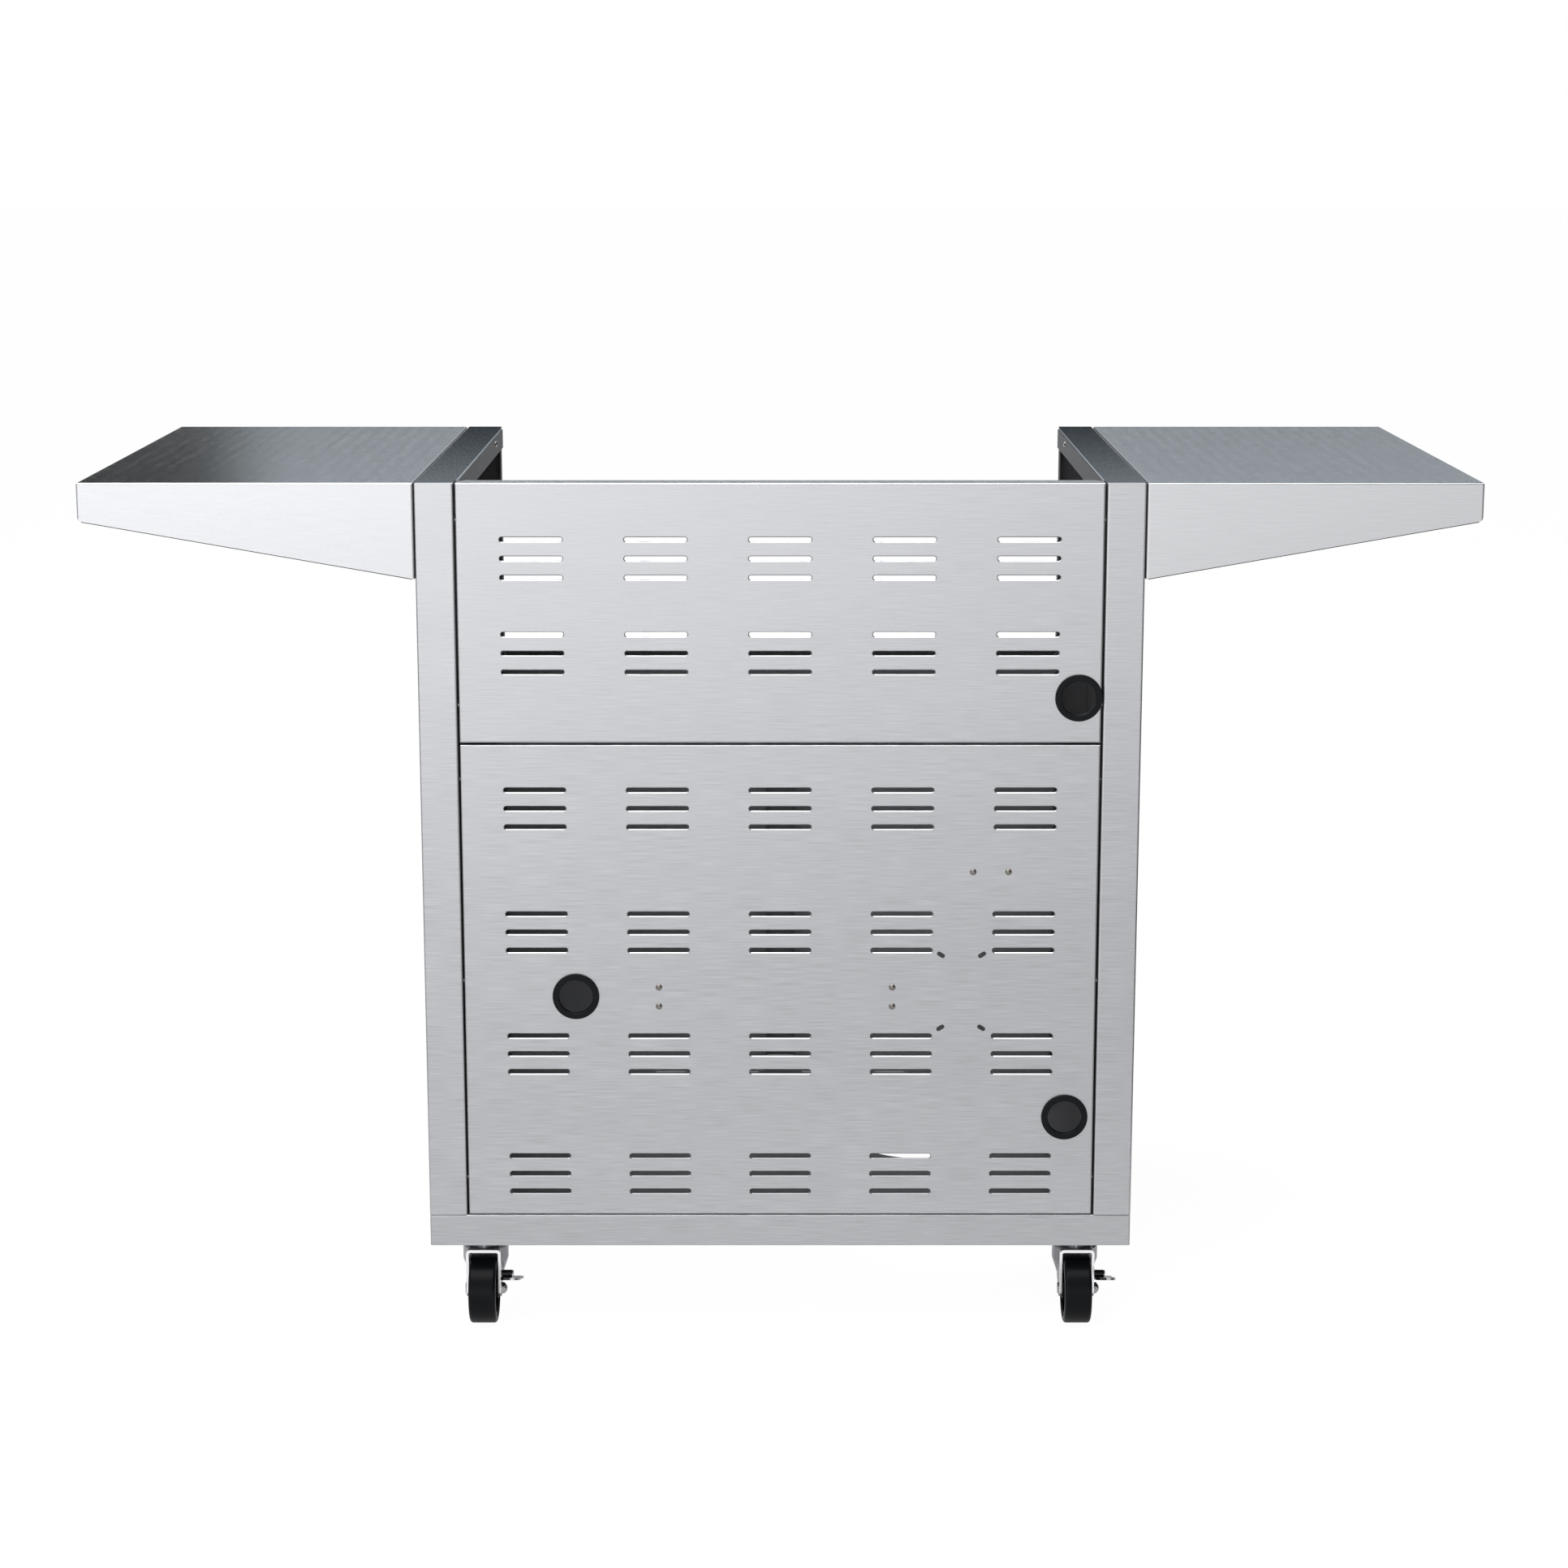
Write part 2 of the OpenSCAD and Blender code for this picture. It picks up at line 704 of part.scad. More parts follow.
module base_pan() {
    color("silver") difference() {
        union() {
            translate([0, middle_y, skirt_z]) tray(body_w, body_d, skirt_h);
            translate([-half_w, front_y, skirt_z]) linear_extrude(sheet) difference() {
                round_rect(body_w, body_d, bend);
                translate([skirt_lip, skirt_lip]) square([body_w - 2 * skirt_lip, body_d - 2 * skirt_lip]);
            }
            intersection() {
                cylinder_well(cylinder_hole_r + sheet, collar_h);
                translate([-half_w, front_y, 0]) cube([body_w, body_d, base_z]);
            }
        }
        cylinder_well(cylinder_hole_r, collar_h + cut);
        for (y = [back_y - vent_inset, front_y + vent_inset], i = [0 : vent_columns - 1])
            translate([(i - (vent_columns - 1) / 2) * vent_pitch, y, floor_z - cut])
                linear_extrude(sheet + 2 * cut) stadium(vent_l, vent_w);
        for (side = [-1, 1], y = foot_screw_places)
            translate([side * (half_w - foot_flange / 2), y, base_z]) hole(screw_r, bend);
        translate([0, front_y + front_screw_depth, base_z]) hole(screw_r, bend);
        for (side = [-1, 1], x = bracket_screw_places)
            translate([side * x, front_y, bracket_screw_levels[0]]) hole_y(screw_r, bend);
    }
}

// Places its children at the swivel axis of one corner, on the floor
module at_corner(name) {
    x = half_w - caster_inset;
    left = name == "rear_left" || name == "front_left";
    rear = name == "rear_left" || name == "rear_right";
    translate([left ? -x : x, rear ? back_y - caster_inset : front_y + caster_inset, 0]) children();
}

module at_plate_bolts() {
    for (x = [-1, 1], y = [-1, 1]) translate([x * plate_pitch / 2, y * plate_pitch / 2, 0]) children();
}

// Folded seats under the floor that the casters are bolted to
module caster_mounts() {
    height = floor_z - caster_h;
    color("gray") for (corner = CORNERS) at_corner(corner) difference() {
        translate([0, -mount_w / 2, floor_z]) rotate([-90, 0, 0]) linear_extrude(mount_w) difference() {
            arch_rect(mount_w, height, mount_bend);
            translate([0, -cut])
                arch_rect(mount_w - 2 * mount_t, height - mount_t + cut, mount_bend - mount_t);
        }
        translate([0, 0, caster_h]) at_plate_bolts() hole(bolt_r, mount_t + cut);
    }
}

module caster_bolts() {
    color("lightgray") for (corner = CORNERS) at_corner(corner) at_plate_bolts()
        translate([0, 0, caster_h - plate_t]) rotate([180, 0, 0]) bolt(plate_t + mount_t);
}

// Front of the cabinet

module front_rail() {
    width = 2 * (strip_x - fit);
    color("silver") difference() {
        translate([0, front_y + front_depth, front_rail_z + front_rail_h / 2])
            front_tray(width, front_rail_h, front_depth);
        for (side = [-1, 1], z = front_screw_levels)
            translate([side * width / 2, front_y + front_screw_depth, z]) hole_x(screw_r, bend);
        translate([0, front_y + front_screw_depth, front_rail_z]) hole(screw_r, bend);
    }
}

module centre_post() {
    height = front_rail_z - fit - base_z;
    color("silver") difference() {
        translate([0, front_y + front_depth, base_z + height / 2]) front_tray(post_w, height, front_depth);
        for (z = [base_z, base_z + height])
            translate([0, front_y + front_screw_depth, z]) hole(screw_r, bend);
    }
}

module door_magnets() {
    depth = door_gap - bumper_squeeze;
    color("dimgray") for (side = [-1, 1])
        translate([side * magnet_x - magnet_w / 2, front_y - depth, front_rail_z - magnet_drop - magnet_h])
            cube([magnet_w, depth, magnet_h]);
}

module door_bumpers() {
    color("black") for (side = [-1, 1]) {
        translate([side * magnet_x, front_y, door_z + bumper_rise]) rotate([90, 0, 0])
            cylinder(h = door_gap - bumper_squeeze, r = bumper_r);
        translate([side * (half_w - bumper_x), front_y, door_top_z - bumper_rise]) rotate([90, 0, 0])
            cylinder(h = door_gap - bumper_squeeze, r = bumper_r);
    }
}

// Brackets that hold the pivot pins of both doors, above and below them
module door_brackets() {
    reach = front_y - pin_y + bracket_nose;
    leg_levels = [bracket_leaf_levels[0] + bracket_t - bracket_leg, bracket_leaf_levels[1]];
    color("lightgray") for (side = [-1, 1], i = [0, 1]) on_side(side) difference() {
        union() {
            translate([half_w - bracket_w, front_y - reach, bracket_leaf_levels[i]])
                cube([bracket_w, reach, bracket_t]);
            translate([half_w - bracket_w, front_y - bracket_t, leg_levels[i]])
                cube([bracket_w, bracket_t, bracket_leg]);
        }
        translate([pin_x, pin_y, bracket_leaf_levels[i]]) hole(pin_r - fit + running, bracket_t + cut);
        for (x = bracket_screw_places)
            translate([x, front_y, bracket_screw_levels[i]]) hole_y(screw_r, bracket_t + cut);
    }
}

// Doors: each is drawn on the +X side

module door_skin(side) {
    color("silver") on_side(side) difference() {
        translate([half_w - door_w / 2, front_y - door_gap, door_z + door_h / 2])
            front_tray(door_w, door_h, door_t);
        translate([pin_x, pin_y, door_z]) hole(pin_r, bend);
        translate([pin_x, pin_y, door_top_z]) hole(pin_r, bend);
        handle_screw_holes();
    }
}

module at_handle() {
    translate([half_w - door_w + handle_edge, door_face_y, door_z + door_h / 2]) children();
}

module handle_screw_holes() {
    at_handle() for (end = [-1, 1])
        translate([0, 0, end * stud_pitch_share * handle_l / 2]) hole_y(bolt_r, bend);
}

// Inner pan of a door, let into the edges of the skin
module door_liner(side) {
    inset = sheet + fit;
    color("gainsboro") on_side(side) difference() {
        translate([half_w - door_w / 2, front_y - door_gap - liner_depth, door_z + door_h / 2])
            back_tray(door_w - 2 * inset, door_h - 2 * inset, liner_depth);
        translate([pin_x, pin_y, door_z]) hole(pin_r, 2 * bend);
        translate([pin_x, pin_y, door_top_z]) hole(pin_r, 2 * bend);
    }
}

// Bar handle on two studs, with a nut inside the skin on each
module door_handle(side) {
    color("lightgray") on_side(side) at_handle() translate([0, -handle_clear - handle_d / 2, 0]) {
        cylinder(h = handle_l - 2 * handle_chamfer, r = handle_d / 2, center = true);
        for (end = [0, 1]) mirror([0, 0, end]) {
            translate([0, 0, handle_l / 2 - handle_chamfer])
                cylinder(h = handle_chamfer, r1 = handle_d / 2, r2 = handle_d / 2 - handle_chamfer);
            translate([0, 0, stud_pitch_share * handle_l / 2]) rotate([-90, 0, 0]) {
                cylinder(h = handle_clear + handle_d / 2, r = stud_r);
                cylinder(h = handle_clear + handle_d / 2 + sheet + bolt_nut_h, r = bolt_r);
                translate([0, 0, handle_clear + handle_d / 2 + sheet])
                    cylinder(h = bolt_nut_h, r = bolt_head_r, $fn = 6);
            }
        }
    }
}

// Pivot pins of a door, each with a collar inside the door and a washer outside it
module door_pins(side) {
    outside = bracket_gap + bracket_t + pin_tip;
    color("gray") on_side(side) for (end = [0, 1])
        translate([pin_x, pin_y, end == 0 ? door_z : door_top_z]) mirror([0, 0, 1 - end]) {
            translate([0, 0, -pin_inside]) cylinder(h = pin_inside + outside, r = pin_r);
            translate([0, 0, -2 * sheet - fit - pin_collar_h]) cylinder(h = pin_collar_h, r = pin_collar_r);
            cylinder(h = washer_h, r = washer_r);
        }
}

module left_door_skin() { door_skin(-1); }
module left_door_liner() { door_liner(-1); }
module left_door_handle() { door_handle(-1); }
module left_door_pins() { door_pins(-1); }
module right_door_skin() { door_skin(1); }
module right_door_liner() { door_liner(1); }
module right_door_handle() { door_handle(1); }
module right_door_pins() { door_pins(1); }

// Side shelves

shelf_rise = shelf_inner_h - shelf_outer_h;
shelf_slope = atan(shelf_rise / shelf_w);

// Tapered end of a shelf, from the cabinet at X 0 outward, with its lower outer corner round
module shelf_end() {
    tangent = shelf_corner_r / tan((90 + shelf_slope) / 2);
    polygon([
        [0, 0],
        [shelf_w - tangent * cos(shelf_slope), shelf_rise - tangent * sin(shelf_slope)],
        [shelf_w, shelf_rise + tangent],
        [shelf_w, shelf_inner_h],
        [0, shelf_inner_h]
    ]);
    translate([shelf_w - shelf_corner_r, shelf_rise + tangent]) circle(shelf_corner_r);
}

module shelf(side) {
    color("silver") on_side(side) translate([shelf_x, back_y, top_z - shelf_inner_h]) difference() {
        union() {
            intersection() {
                translate([shelf_w / 2, -body_d / 2, 0]) tray(shelf_w, body_d, shelf_inner_h);
                rotate([90, 0, 0]) linear_extrude(body_d) shelf_end();
            }
            // Lip that follows the lower edges
            intersection() {
                translate([shelf_w / 2, -body_d / 2, 0]) soft_block(shelf_w, body_d, shelf_inner_h, bend);
                rotate([90, 0, 0]) linear_extrude(body_d) difference() {
                    shelf_end();
                    translate([0, sheet / cos(shelf_slope)]) shelf_end();
                }
                difference() {
                    translate([0, -body_d, 0]) cube([shelf_w, body_d, shelf_inner_h]);
                    translate([shelf_lip, shelf_lip - body_d, -cut])
                        cube([shelf_w - 2 * shelf_lip, body_d - 2 * shelf_lip, shelf_inner_h + 2 * cut]);
                }
            }
        }
        for (y = shelf_bolt_places, drop = shelf_bolt_drops)
            translate([0, y - back_y, shelf_inner_h - drop]) hole_x(bolt_r, bend);
    }
}

module left_shelf() { shelf(-1); }
module right_shelf() { shelf(1); }

module shelf_bolts() {
    color("lightgray") for (side = [-1, 1]) on_side(side)
        for (y = shelf_bolt_places, drop = shelf_bolt_drops)
            translate([half_w - sheet, y, top_z - drop]) rotate([0, -90, 0]) bolt(2 * sheet + shelf_gap);
}

// Screws

module back_screws() {
    color("lightgray") on_back() {
        for (place = guard_screw_places) translate([place.x, -place.y, 0]) screw(sheet + guard_foot_t);
        for (place = hook_screw_places) translate([place.x, -place.y, 0]) screw(sheet + hook_t);
    }
}

module rail_screws() {
    color("lightgray") for (side = [-1, 1]) on_side(side)
        translate([rail_x, front_y + rail_screw_front, top_z - rail_screw_drop]) rotate([0, -90, 0])
            screw(sheet, r = rail_screw_r);
}

module panel_screws() {
    color("lightgray") for (side = [-1, 1], z = panel_screw_levels) on_side(side)
        translate([panel_w / 2 - sheet, back_y - panel_screw_depth, z]) rotate([0, -90, 0])
            screw(2 * sheet + panel_gap);
}

module frame_screws() {
    color("lightgray") {
        for (side = [-1, 1]) on_side(side) {
            for (z = front_screw_levels)
                translate([strip_x - fit - sheet, front_y + front_screw_depth, z]) rotate([0, -90, 0])
                    screw(2 * sheet + fit);
            for (y = foot_screw_places)
                translate([half_w - foot_flange / 2, y, base_z + sheet]) screw(2 * sheet);
        }
        translate([0, front_y + front_screw_depth, front_rail_z + sheet]) screw(2 * sheet + fit);
        translate([0, front_y + front_screw_depth, base_z + sheet]) screw(2 * sheet);
    }
}

module bracket_screws() {
    color("lightgray") for (side = [-1, 1], x = bracket_screw_places, z = bracket_screw_levels) on_side(side)
        translate([x, front_y - bracket_t, z]) rotate([90, 0, 0]) screw(bracket_t + sheet);
}

// Casters: each piece is drawn about its swivel axis, trailing to +Y

// Top plate with the raceway under it and the kingpin that carries the fork
module caster_plate() {
    cup_z = fork_top_z + race_h + race_gap;
    pin_z = fork_top_z - fork_sheet - kingpin_gap - kingpin_head_h;
    plate_z = caster_h - plate_t;
    color("lightgray") difference() {
        union() {
            translate([-plate_w / 2, -plate_w / 2, plate_z]) linear_extrude(plate_t)
                round_rect(plate_w, plate_w, plate_corner_r);
            translate([0, 0, cup_z]) cylinder(h = (plate_z - cup_z) / 2, r = cup_r + cup_flare);
            translate([0, 0, cup_z]) cylinder(h = plate_z - cup_z, r = cup_r);
            translate([0, 0, pin_z]) cylinder(h = plate_z - pin_z, r = kingpin_r);
            translate([0, 0, pin_z]) cylinder(h = kingpin_head_h, r = kingpin_head_r);
        }
        translate([0, 0, caster_h]) at_plate_bolts() hole(bolt_r, plate_t + cut);
    }
}

// Side view of the fork: a leg that narrows from the dome to the axle
module fork_side() {
    far = [-dome_r, fork_top_z - dome_drop];
    axle = [trail, wheel_r];
    reach = axle - far;
    foot_r = fork_foot_r - fit;
    turn = atan2(reach.y, reach.x) - asin(foot_r / norm(reach));
    touch = far + sqrt(norm(reach) * norm(reach) - foot_r * foot_r) * [cos(turn), sin(turn)];
    polygon([
        [-dome_r, fork_top_z + race_h],
        far,
        touch,
        axle,
        [trail + foot_r, wheel_r],
        [trail + fork_nose, fork_top_z + race_h]
    ]);
    translate(axle) circle(fork_foot_r);
}

// Round head of the fork, as a solid of revolution that narrows to the width of the legs
module fork_dome(inset) {
    r = dome_r - inset;
    top = fork_top_z - inset;
    foot_r = fork_w / 2 - inset - dome_tuck;
    rotate_extrude() {
        polygon([
            [0, wheel_r + dome_end_rise],
            [foot_r, wheel_r + dome_end_rise],
            [r, fork_top_z - dome_drop],
            [r, top - fork_corner_r],
            [r - fork_corner_r, top],
            [0, top]
        ]);
        translate([r - fork_corner_r, top - fork_corner_r]) circle(fork_corner_r);
    }
}

// Straight part of the fork, round at its upper corners
module fork_arch(inset, length) {
    translate([0, length / 2, 0]) rotate([90, 0, 0]) linear_extrude(length)
        arch_rect(fork_w - 2 * inset, fork_top_z - inset, fork_corner_r - inset);
}

module fork() {
    reach = 2 * (dome_r + trail);
    color("gainsboro") {
        difference() {
            union() {
                intersection() {
                    union() {
                        fork_dome(0);
                        translate([0, reach / 2 - dome_r / 2, 0]) fork_arch(0, reach);
                    }
                    translate([-dome_r, 0, 0]) rotate([90, 0, 90]) linear_extrude(2 * dome_r) fork_side();
                }
                translate([0, 0, fork_top_z - fork_sheet / 2])
                    cylinder(h = race_h + fork_sheet / 2, r = race_r);
            }
            translate([0, 0, -cut]) fork_arch_space(reach);
            fork_dome(fork_sheet);
            translate([0, 0, fork_top_z]) hole(kingpin_r - fit + running, fork_sheet + race_h);
            translate([0, trail, wheel_r]) hole_x(axle_r, fork_w);
        }
        // Pivot of the brake pedal
        translate([-fork_w / 2, pivot_y, pivot_z]) rotate([0, -90, 0]) {
            pin_l = 2 * pedal_gap + boss_l;
            translate([0, 0, -fork_sheet / 2]) cylinder(h = fork_sheet / 2 + pin_l, r = pivot_r);
            translate([0, 0, pin_l]) cylinder(h = pivot_head_h, r = pivot_head_r);
        }
    }
}

// Space between the legs, open below and at both ends
module fork_arch_space(length) {
    fork_arch_height = fork_top_z - fork_sheet + cut;
    translate([0, length, 0]) rotate([90, 0, 0]) linear_extrude(2 * length)
        arch_rect(fork_w - 2 * fork_sheet, fork_arch_height, fork_corner_r - fork_sheet);
}

// Axle bolt with its hexagon head on one leg and a domed nut on the other
module axle() {
    color("gray") translate([0, trail, wheel_r]) rotate([0, 90, 0]) {
        translate([0, 0, -fork_w / 2 - axle_nut_h / 2]) cylinder(h = fork_w + axle_nut_h / 2, r = axle_r);
        translate([0, 0, fork_w / 2]) cylinder(h = axle_head_h, r = axle_nut_r, $fn = 6);
        translate([0, 0, -fork_w / 2 - axle_nut_h * nut_flat_share])
            cylinder(h = axle_nut_h * nut_flat_share, r = axle_nut_r, $fn = 6);
        translate([0, 0, -fork_w / 2]) intersection() {
            sphere(axle_nut_h);
            translate([0, 0, -axle_nut_h]) cylinder(h = axle_nut_h, r = axle_nut_r);
        }
    }
}

// Turns a half section drawn as [radius, distance along the axle] about the axle
module about_axle() { translate([0, trail, wheel_r]) rotate([0, 90, 0]) rotate_extrude() children(); }

module wheel_core() {
    hub_half = fork_w / 2 - fork_sheet - hub_gap;
    rim_r = wheel_r - tread_t;
    rim_half = wheel_w / 2 - rim_step;
    color("black") about_axle() difference() {
        union() {
            translate([0, -hub_half]) square([hub_r, 2 * hub_half]);
            translate([0, -web_t / 2]) square([rim_r, web_t]);
            translate([rim_r - rim_t, -rim_half]) square([rim_t, 2 * rim_half]);
        }
        translate([-cut, -fork_w / 2]) square([cut + axle_r + running, fork_w]);
    }
}

// Solid tread with round shoulders
module tread() {
    shoulder_y = wheel_w / 2 - shoulder_r;
    color("black") about_axle() {
        translate([wheel_r - tread_t, -wheel_w / 2]) square([tread_t - shoulder_r, wheel_w]);
        translate([wheel_r - tread_t, -shoulder_y]) square([tread_t, 2 * shoulder_y]);
        for (side = [-1, 1]) translate([wheel_r - shoulder_r, side * shoulder_y]) circle(shoulder_r);
    }
}

// Rocker pedal beside the fork: a boss on the pivot with a lobed plate under it
module brake_pedal() {
    lobe_y = pivot_head_r + pedal_side_gap;
    lobe_l = pedal_l / 2 - lobe_y;
    color("dimgray") translate([0, pivot_y, pivot_z]) rotate([pedal_tilt, 0, 0]) difference() {
        union() {
            translate([-fork_w / 2 - pedal_gap, 0, 0]) rotate([0, -90, 0]) cylinder(h = boss_l, r = boss_r);
            translate([0, 0, -pedal_lift - pedal_t]) linear_extrude(pedal_t) {
                // Lobe on the trailing side, beside the leg
                translate([-fork_w / 2 - pedal_w, lobe_y])
                    round_rect(pedal_w - pedal_side_gap, lobe_l, pedal_corner_r);
                // Lobe on the leading side, clear of the dome
                translate([-fork_w / 2 - pedal_w, -pedal_l / 2])
                    round_rect(pedal_w - pedal_far_step, lobe_l, pedal_corner_r);
                // Waist under the boss
                translate([-fork_w / 2 - boss_l, -pedal_waist])
                    square([boss_l - pedal_side_gap, 2 * pedal_waist]);
            }
        }
        translate([-fork_w / 2 - boss_l, 0, 0]) hole_x(pivot_r - fit + running, 2 * boss_l);
    }
}

left_side_panel();
right_side_panel();
upper_back_panel();
lower_back_panel();
base_pan();
caster_mounts();
front_rail();
centre_post();
left_shelf();
right_shelf();
shelf_bolts();
upper_grommet();
middle_grommet();
lower_grommet();
guard_bar();
hose_hook();
back_screws();
rail_screws();
panel_screws();
frame_screws();
door_brackets();
bracket_screws();
door_magnets();
door_bumpers();
caster_bolts();
left_door_skin();
left_door_liner();
left_door_handle();
left_door_pins();
right_door_skin();
right_door_liner();
right_door_handle();
right_door_pins();
for (corner = CORNERS) {
    at_corner(corner) caster_plate();
    at_corner(corner) fork();
    at_corner(corner) axle();
    at_corner(corner) wheel_core();
    at_corner(corner) tread();
    at_corner(corner) brake_pedal();
}
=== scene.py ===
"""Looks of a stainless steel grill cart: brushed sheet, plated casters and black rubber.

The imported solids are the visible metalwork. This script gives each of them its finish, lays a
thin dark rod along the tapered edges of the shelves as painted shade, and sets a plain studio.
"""

import json
import logging
import math
from dataclasses import dataclass, field
from enum import Enum

import bpy
import numpy as np
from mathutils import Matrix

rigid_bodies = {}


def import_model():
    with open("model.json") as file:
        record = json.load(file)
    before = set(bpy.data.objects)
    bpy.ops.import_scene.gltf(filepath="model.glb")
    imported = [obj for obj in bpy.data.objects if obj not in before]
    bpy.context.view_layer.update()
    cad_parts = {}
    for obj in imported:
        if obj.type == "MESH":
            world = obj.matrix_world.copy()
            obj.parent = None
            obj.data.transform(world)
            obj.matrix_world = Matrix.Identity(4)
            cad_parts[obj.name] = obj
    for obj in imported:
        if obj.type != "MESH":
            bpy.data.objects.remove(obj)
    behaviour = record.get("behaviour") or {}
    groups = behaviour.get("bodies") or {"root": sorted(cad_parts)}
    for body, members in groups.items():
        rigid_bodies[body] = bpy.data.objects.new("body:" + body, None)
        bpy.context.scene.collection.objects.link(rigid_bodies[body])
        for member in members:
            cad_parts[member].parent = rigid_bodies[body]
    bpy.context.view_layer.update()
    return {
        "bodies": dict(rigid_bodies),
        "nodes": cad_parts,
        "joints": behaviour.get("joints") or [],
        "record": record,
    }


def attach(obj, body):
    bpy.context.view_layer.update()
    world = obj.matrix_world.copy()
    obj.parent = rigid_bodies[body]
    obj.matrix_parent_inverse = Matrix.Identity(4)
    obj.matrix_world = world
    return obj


LOG = logging.getLogger("grill_cart")

Vec = tuple[float, float, float]

CABINET_MIDDLE: Vec = (0.0, 0.029, 0.52)


class TopGrain(Enum):
    """Direction of the brushed grain on the level faces of a folded sheet."""

    ACROSS = 0.0
    DEEP = 1.0


class Socket(Enum):
    """Kinds of node group sockets."""

    NUMBER = "NodeSocketFloat"
    COLOUR = "NodeSocketColor"
    VECTOR = "NodeSocketVector"


# Node helpers


class Graph:
    """A thin layer over a node tree that adds nodes and links in one line each."""

    def __init__(self, tree: bpy.types.NodeTree) -> None:
        """Starts on an empty tree.

        Args:
            tree: the node tree to fill.
        """
        self.tree = tree
        self.tree.nodes.clear()

    def node(self, kind: str, **settings: object) -> bpy.types.Node:
        """Adds a node and sets its properties.

        Args:
            kind: the node's type name.
            settings: the node's properties by name.

        Returns:
            The new node.
        """
        made = self.tree.nodes.new(kind)
        for name, value in settings.items():
            setattr(made, name, value)
        return made

    def feed(self, target: bpy.types.NodeSocket, value: object) -> None:
        """Links a socket to another, or writes a plain value into it.

        Args:
            target: the input socket.
            value: an output socket, or a number, colour or vector.
        """
        if isinstance(value, bpy.types.NodeSocket):
            self.tree.links.new(value, target)
        else:
            target.default_value = value

    def math(self, operation: str, *values: object, clamp: bool = False) -> bpy.types.NodeSocket:
        """Adds a Math node.

        Args:
            operation: the Math node's operation.
            values: its inputs, sockets or numbers.
            clamp: True keeps the result from 0 to 1.

        Returns:
            The result's socket.
        """
        made = self.node("ShaderNodeMath", operation=operation, use_clamp=clamp)
        for socket, value in zip(made.inputs, values):
            self.feed(socket, value)
        return made.outputs[0]

    def vector(self, operation: str, *values: object) -> bpy.types.NodeSocket:
        """Adds a Vector Math node.

        Args:
            operation: the node's operation.
            values: its vector inputs, or a plain number for the Scale input.

        Returns:
            The result's socket.
        """
        made = self.node("ShaderNodeVectorMath", operation=operation)
        for position, value in enumerate(values):
            if operation == "SCALE" and position == 1:
                self.feed(made.inputs["Scale"], value)
            else:
                self.feed(made.inputs[position], value)
        return made.outputs["Value"] if operation == "DOT_PRODUCT" else made.outputs["Vector"]

    def mix(self, factor: object, low: object, high: object) -> bpy.types.NodeSocket:
        """Mixes two numbers.

        Args:
            factor: the share of the second number.
            low: the number where the factor is 0.
            high: the number where the factor is 1.

        Returns:
            The result's socket.
        """
        made = self.node("ShaderNodeMix", data_type="FLOAT")
        self.feed(made.inputs["Factor"], factor)
        self.feed(made.inputs["A"], low)
        self.feed(made.inputs["B"], high)
        return made.outputs["Result"]

    def mix_colour(self, factor: object, low: object, high: object) -> bpy.types.NodeSocket:
        """Mixes two colours.

        Args:
            factor: the share of the second colour.
            low: the colour where the factor is 0.
            high: the colour where the factor is 1.

        Returns:
            The result's socket.
        """
        made = self.node("ShaderNodeMix", data_type="RGBA")
        self.feed(made.inputs["Factor"], factor)
        self.feed([s for s in made.inputs if s.name == "A" and s.type == "RGBA"][0], low)
        self.feed([s for s in made.inputs if s.name == "B" and s.type == "RGBA"][0], high)
        return [s for s in made.outputs if s.type == "RGBA"][0]

    def combine(self, x: object, y: object, z: object) -> bpy.types.NodeSocket:
        """Puts three numbers together as a vector.

        Args:
            x: its first number.
            y: its second number.
            z: its third number.

        Returns:
            The vector's socket.
        """
        made = self.node("ShaderNodeCombineXYZ")
        for socket, value in zip(made.inputs, (x, y, z)):
            self.feed(socket, value)
        return made.outputs[0]

    def noise(self, place: object, detail: float) -> bpy.types.NodeSocket:
        """Adds a Noise Texture with one blot per unit of its place.

        Args:
            place: the place, already scaled.
            detail: how many finer layers it has.

        Returns:
            The socket of its value, from 0 to 1.
        """
        made = self.node("ShaderNodeTexNoise", noise_dimensions="3D")
        self.feed(made.inputs["Vector"], place)
        made.inputs["Scale"].default_value = 1.0
        made.inputs["Detail"].default_value = detail
        made.inputs["Roughness"].default_value = 0.5
        return made.outputs[0]

    def turned(self, normal: object, source: str, target: str) -> bpy.types.NodeSocket:
        """Turns a normal from one space to another.

        Args:
            normal: the normal.
            source: the space that it is in, WORLD or OBJECT.
            target: the space that it is turned to.

        Returns:
            The turned normal's socket.
        """
        made = self.node("ShaderNodeVectorTransform", vector_type="NORMAL",
                         convert_from=source, convert_to=target)
        self.feed(made.inputs[0], normal)
        return made.outputs[0]

    def facing(self) -> bpy.types.NodeSocket:
        """Returns the surface's normal in the piece's own axes, which a pose doesn't change."""
        return self.turned(self.node("ShaderNodeNewGeometry").outputs["Normal"], "WORLD", "OBJECT")

    def spread(self, value: object, low: float, high: float,
               to_low: float = 0.0, to_high: float = 1.0) -> bpy.types.NodeSocket:
        """Maps a range of numbers onto another, and keeps the result inside it.

        Args:
            value: the number.
            low: the start of its range.
            high: the end of its range.
            to_low: what the start becomes.
            to_high: what the end becomes.

        Returns:
            The result's socket.
        """
        made = self.node("ShaderNodeMapRange", clamp=True)
        for socket, number in zip(made.inputs, (value, low, high, to_low, to_high)):
            self.feed(socket, number)
        return made.outputs[0]


